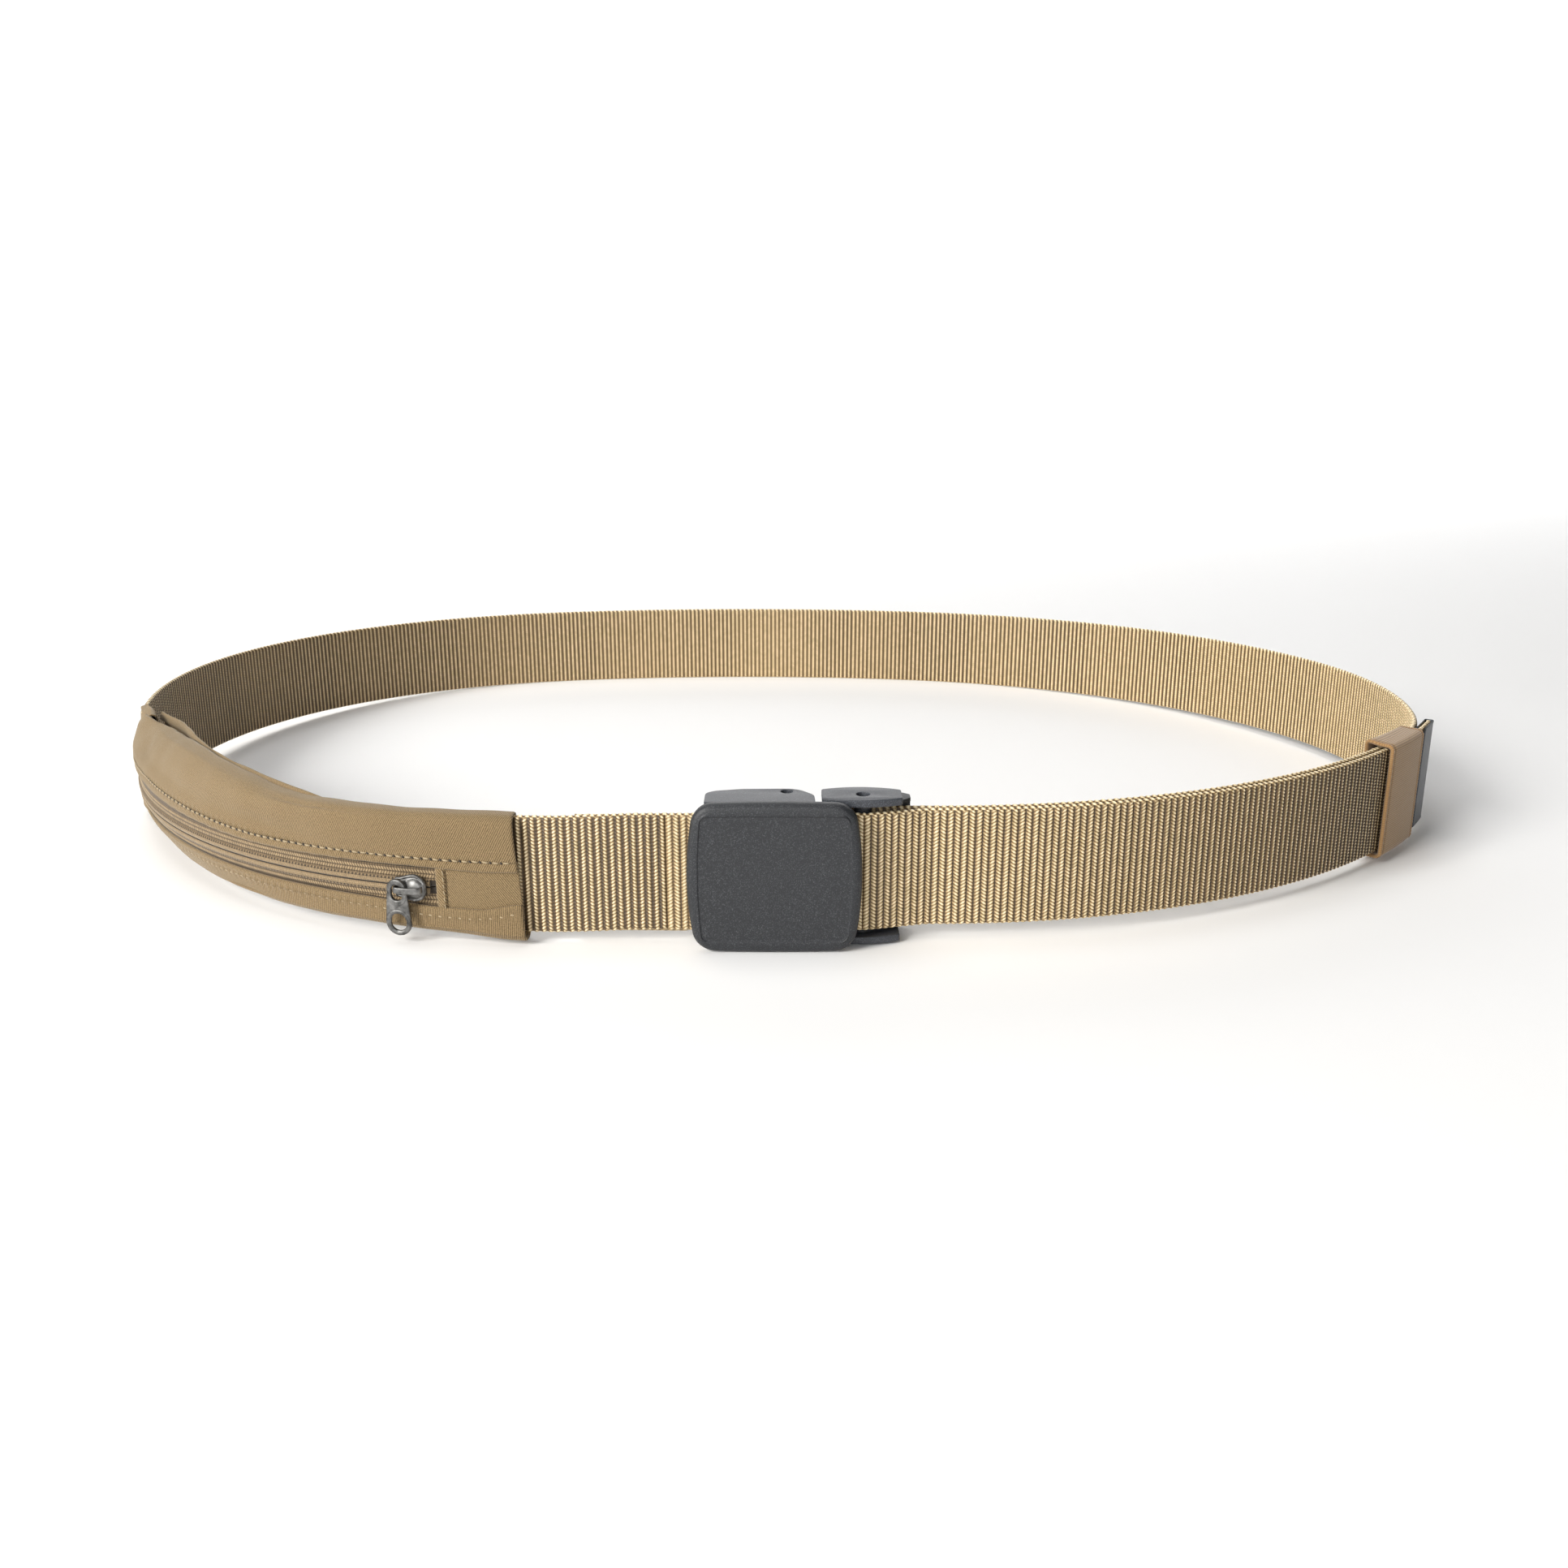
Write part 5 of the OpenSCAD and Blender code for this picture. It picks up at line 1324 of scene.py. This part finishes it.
Lin, Lout = keeper_line(0.08, r=0.6), keeper_line(1.0, r=0.6)
nt_ = len(Lin)
mid_l = (Lin + Lout) / 2
per = np.concatenate([[0], np.cumsum(np.linalg.norm(np.diff(np.vstack([Lout, Lout[:1]]), axis=0), axis=1))])
tt = per[:-1]
Lper = per[-1]
NR = round(Lper / 0.62)
rib = 0.5 + 0.5 * np.cos(2 * pi * tt * NR / Lper)
nw = 64
us = np.linspace(-1, 1, nw)                        # across the belt direction
edge_r = 0.50
out_rows, attr_rows, sc_rows = [], [], []
span = KW
x_mm = us * span / 2
HW = KW / 2
roll = np.exp(-((np.abs(x_mm) - HW + 0.55) / 0.55) ** 2)
groove = np.exp(-((x_mm + HW - 1.65) / 0.28) ** 2) + 0.6 * np.exp(-((x_mm - HW + 1.4) / 0.25) ** 2)
end = np.sqrt(np.clip(1 - (np.clip((np.abs(x_mm) - HW + 0.6) / 0.6, 0, 1)) ** 2, 0.04, 1))
dirn = Lout - Lin
dirn = dirn / np.linalg.norm(dirn, axis=1)[:, None]
heads = KA + us * KH
ribx = 0.5 + 0.5 * np.cos(2 * pi * x_mm / 1.1)
# slack at the top of the inner side, where the loop stands off the belt
slack = np.exp(-((mid_l[:, 0] - KD0) / 1.6) ** 2) * np.exp(-((mid_l[:, 1] - 33.5) / 5.5) ** 2)


def keeper_surface(k):
    x = x_mm[k]
    e = 0.46 * end[k]
    o = 0.5 + (e + 0.16 * roll[k] - 0.30 * groove[k] + 0.11 * rib * (1 - roll[k]) * (0.8 + 0.2 * ribx[k]) + 0.10 * roll[k] * (0.5 + 0.5 * np.cos(2 * pi * tt / 0.9)))
    i = 0.5 - e - 0.02
    return o, i * np.ones(nt_)


cols_o, cols_i = [], []
for k in range(nw):
    o, i = keeper_surface(k)
    po = Lin + dirn * o[:, None] * 1.0
    pi_ = Lin + dirn * i[:, None] * 1.0
    sl_ = slack * (0.35 + 0.65 * (0.5 - 0.5 * us[k]))
    po = po + np.stack([-1.3 * sl_, 0.5 * sl_], -1)
    pi_ = pi_ + np.stack([-1.3 * sl_, 0.5 * sl_], -1)
    cols_o.append(po)
    cols_i.append(pi_)
O, I = np.stack(cols_o), np.stack(cols_i)          # (nw, nt, 2)
C = np.concatenate([O, I[::-1]], 0)                # closed across the width
hd = np.concatenate([heads, heads[::-1]])
Rk = R1[2] + C[..., 0]
X = R1[0] + Rk * sd(hd)[:, None]
Y = R1[1] - Rk * cd(hd)[:, None]
Vk = row(X, Y, C[..., 1])                          # (2nw, nt, 3), both directions closed
m_, n_ = Vk.shape[:2]
i, j = np.meshgrid(np.arange(m_), np.arange(n_), indexing="ij")
i2, j2 = (i + 1) % m_, (j + 1) % n_
qk = np.stack([i * n_ + j, i * n_ + j2, i2 * n_ + j2, i2 * n_ + j], -1).reshape(-1, 4)
# painted shade: the valleys between the ribs and the groove of the stitch line are darkened
hk = np.concatenate([(0.22 + 0.68 * rib[None] * np.ones((nw, 1))) * (1 - 0.85 * groove[:, None]), 0.4 * np.ones((nw, nt_))], 0)
ek = np.concatenate([roll[:, None] * np.ones((1, nt_)) * 0.8, np.zeros((nw, nt_))], 0)
wvk = np.stack([np.clip(hk, 0, 1), np.zeros_like(hk), ek], -1)
sck = np.stack([np.concatenate([x_mm, x_mm[::-1]])[:, None] * np.ones((1, nt_)), np.ones((m_, 1)) * tt[None], np.zeros_like(hk)], -1)
keeper = mesh_of("keeper_elastic", Vk.reshape(-1, 3), qk, attrs={"wv": wvk, "sc": sck}, mats=[ELASTIC])
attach(keeper, "keeper")
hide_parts("keeper_loop")


def arc_frame(c, h, d, z):
    p = row(c[0] + (c[2] + d) * sd(h), c[1] - (c[2] + d) * cd(h), z)
    return p, np.array([cd(h), sd(h), 0.0]), np.array([sd(h), -cd(h), 0.0])


ks = []
for i in range(17):
    p, t, nn = arc_frame(R1, KA - degrees((HW - 1.65) / (R1[2] + 3)), KD1 + 0.92, 4.6 + i * 1.78)
    ks.append(bead(p, np.array([0, 0, 1]) + t * 0.08, nn, 0.0014, 0.00016))
for i in range(11):
    p, t, nn = arc_frame(R1, KA + 0.12 * (-1) ** i, KD0 - 1.08, 5.2 + i * 2.6)
    ks.append(bead(p, np.array([0, 0, 1]) + t * 0.5 * (-1) ** i, -nn, 0.0021, 0.0002))
stitch_object("keeper_stitching", ks, THREAD_DARK, "keeper", "keeper_seam")

es = []
for x in (-45.4, -29.2):
    for i in range(10):
        p = row(x, 2.0 + 0.8 + (0.22 if x < -30 else -0.02) + 0.12, WEB_Z + 1.0 + i * 2.85)
        es.append(bead(p, np.array([0.12 * (-1) ** i, 0, 1]), np.array([0, 1, 0]), 0.0021, 0.00024))
for z in (4.2, 30.8):
    for i in range(7):
        x = -44.4 + i * 2.4
        p = row(x, 2.0 + 0.8 + 0.10 + 0.22 * (-x - 29.4) / 16.5, z)
        es.append(bead(p, np.array([1, -0.03, 0.08 * (-1) ** i]), np.array([0, 1, 0]), 0.0018, 0.00024))
for i in range(12):
    f = (i + 0.5) / 12
    for zz in (4.2 + 26.6 * f, 30.8 - 26.6 * f):
        x = -45.2 + 15.6 * f
        p = row(x, 2.0 + 0.8 + 0.10 + 0.22 * (-x - 29.4) / 16.5, zz)
        es.append(bead(p, np.array([15.6, -0.4, 26.6 if zz == 4.2 + 26.6 * f else -26.6]), np.array([0, 1, 0]), 0.0020, 0.00024))
stitch_object("sewn_end_stitching", es, THREAD, "strap", "end_stitching")

# ------------------------------------------------------------------ metal tip
tc = []
for h in np.linspace(TIP_A - 3.4, TIP_A, 14):
    tc.append((h, TAIL_GAP + 1.08, 0.0))
for t in np.linspace(90, -90, 15)[1:-1]:
    tc.append((TIP_A, TAIL_GAP + 1.08 * sin(radians(t)), 1.08 * cos(radians(t)) * 0.42))
for h in np.linspace(TIP_A, TIP_A - 3.4, 14):
    tc.append((h, TAIL_GAP - 1.08, 0.0))
ctr = []
for h, d, along in tc:
    p = row(R1[0] + (R1[2] + d) * sd(h), R1[1] - (R1[2] + d) * cd(h), 0.0) + np.array([cd(h), sd(h), 0]) * along / 1000
    ctr.append(p)
ctr = np.array(ctr)
tg = np.gradient(ctr, axis=0)
tg = tg / np.linalg.norm(tg, axis=1)[:, None]
nm = np.stack([tg[:, 1], -tg[:, 0], 0 * tg[:, 0]], -1)
zs = np.concatenate([[3.15, 3.2, 3.35, 3.7], np.linspace(4.4, 32.6, 28), [33.3, 33.65, 33.8, 33.85]])
lip_t = 0.21 * np.sqrt(np.clip(1 - (np.clip(np.maximum(3.7 - zs, zs - 33.3) / 0.6, 0, 1)) ** 2, 0.05, 1))
flare = 0.10 * np.exp(-((zs - 33.6) / 0.5) ** 2) + 0.10 * np.exp(-((zs - 3.4) / 0.5) ** 2)
nc = len(ctr)
sec_o, sec_i = [], []
for z, t, fl in zip(zs, lip_t, flare):
    o = ctr + nm * ((t + fl) / 1000)
    i_ = ctr - nm * ((t - fl) / 1000)
    o[:, 2] = z / 1000
    i_[:, 2] = z / 1000
    sec_o.append(o)
    sec_i.append(i_)
Vt = np.stack(sec_o + sec_i[::-1])                 # (2nz, nc, 3) closed along z, open along the path
Vt = np.transpose(Vt, (1, 0, 2))                   # (nc, 2nz, 3)
tip = tube_grid("metal_tip_clip", Vt, mats=[TIP], cap="strip")
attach(tip, "strap")
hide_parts("strap_tip")

# ------------------------------------------------------------------ stage, light, camera
bm = bmesh.new()
rowv = []
prof_f = [(-3.0, 0.0), (-0.6, 0.0), (0.6, 0.0), (1.4, 0.0), (1.9, 0.02), (2.3, 0.12), (2.6, 0.32), (2.8, 0.62), (2.9, 1.1), (2.9, 2.6)]
for y, z in prof_f:
    rowv.append([bm.verts.new((x, y, z - 0.0001)) for x in np.linspace(-4, 4, 9)])
for a_, b_ in zip(rowv, rowv[1:]):
    for i in range(8):
        bm.faces.new((a_[i], a_[i + 1], b_[i + 1], b_[i]))
me = bpy.data.meshes.new("floor")
bm.to_mesh(me)
bm.free()
me.shade_smooth()
floor = bpy.data.objects.new("floor", me)
bpy.context.scene.collection.objects.link(floor)
fm, fnt, fb = material("pale_floor", 0.85, spec=0.2)
fn = noise(fnt, objco(fnt), 3.0, 2)
fnt.links.new(mixc(fnt, op(fnt, "MULTIPLY", fn, 0.3), (0.90, 0.90, 0.90), (0.87, 0.87, 0.87)), fb.inputs["Base Color"])
me.materials.append(fm)


def area(name, loc, target, size, power, color=(1, 1, 1), size_y=None):
    li = bpy.data.lights.new(name, "AREA")
    li.energy, li.color = power, color
    li.shape = "RECTANGLE"
    li.size, li.size_y = size, size_y or size
    ob = bpy.data.objects.new(name, li)
    ob.location = loc
    d = Vector(target) - Vector(loc)
    ob.rotation_euler = d.to_track_quat("-Z", "Y").to_euler()
    bpy.context.scene.collection.objects.link(ob)
    return ob


area("key", (-1.52, -1.35, 1.15), (0, 0.0, 0.02), 1.0, 66, (1.0, 0.985, 0.955))
area("top", (-0.35, 0.1, 1.6), (0, 0.0, 0.0), 0.9, 9)
area("front", (-0.1, -1.7, 0.55), (0, -0.1, 0.02), 0.8, 9.0)
area("backdrop", (0, 1.3, 1.9), (0, 2.9, 0.9), 2.4, 75, size_y=1.2)
w = bpy.data.worlds.new("studio")
bpy.context.scene.world = w
w.use_nodes = True
bg = w.node_tree.nodes["Background"]
bg.inputs["Color"].default_value = (1, 1, 1, 1)
bg.inputs["Strength"].default_value = 0.07
bpy.context.scene.view_settings.view_transform = "Standard"
bpy.context.scene.view_settings.look = "None"

cam = bpy.data.cameras.new("camera")
cam.sensor_width = 36.0
cam.lens = 1794.0 * 36.0 / 1932.0
cam.clip_start, cam.clip_end = 0.01, 50
co = bpy.data.objects.new("camera", cam)
co.location = (0.00408, -0.47702, 0.14287)
co.rotation_euler = (radians(90 - 17.037), 0, 0)
bpy.context.scene.collection.objects.link(co)
bpy.context.scene.camera = co
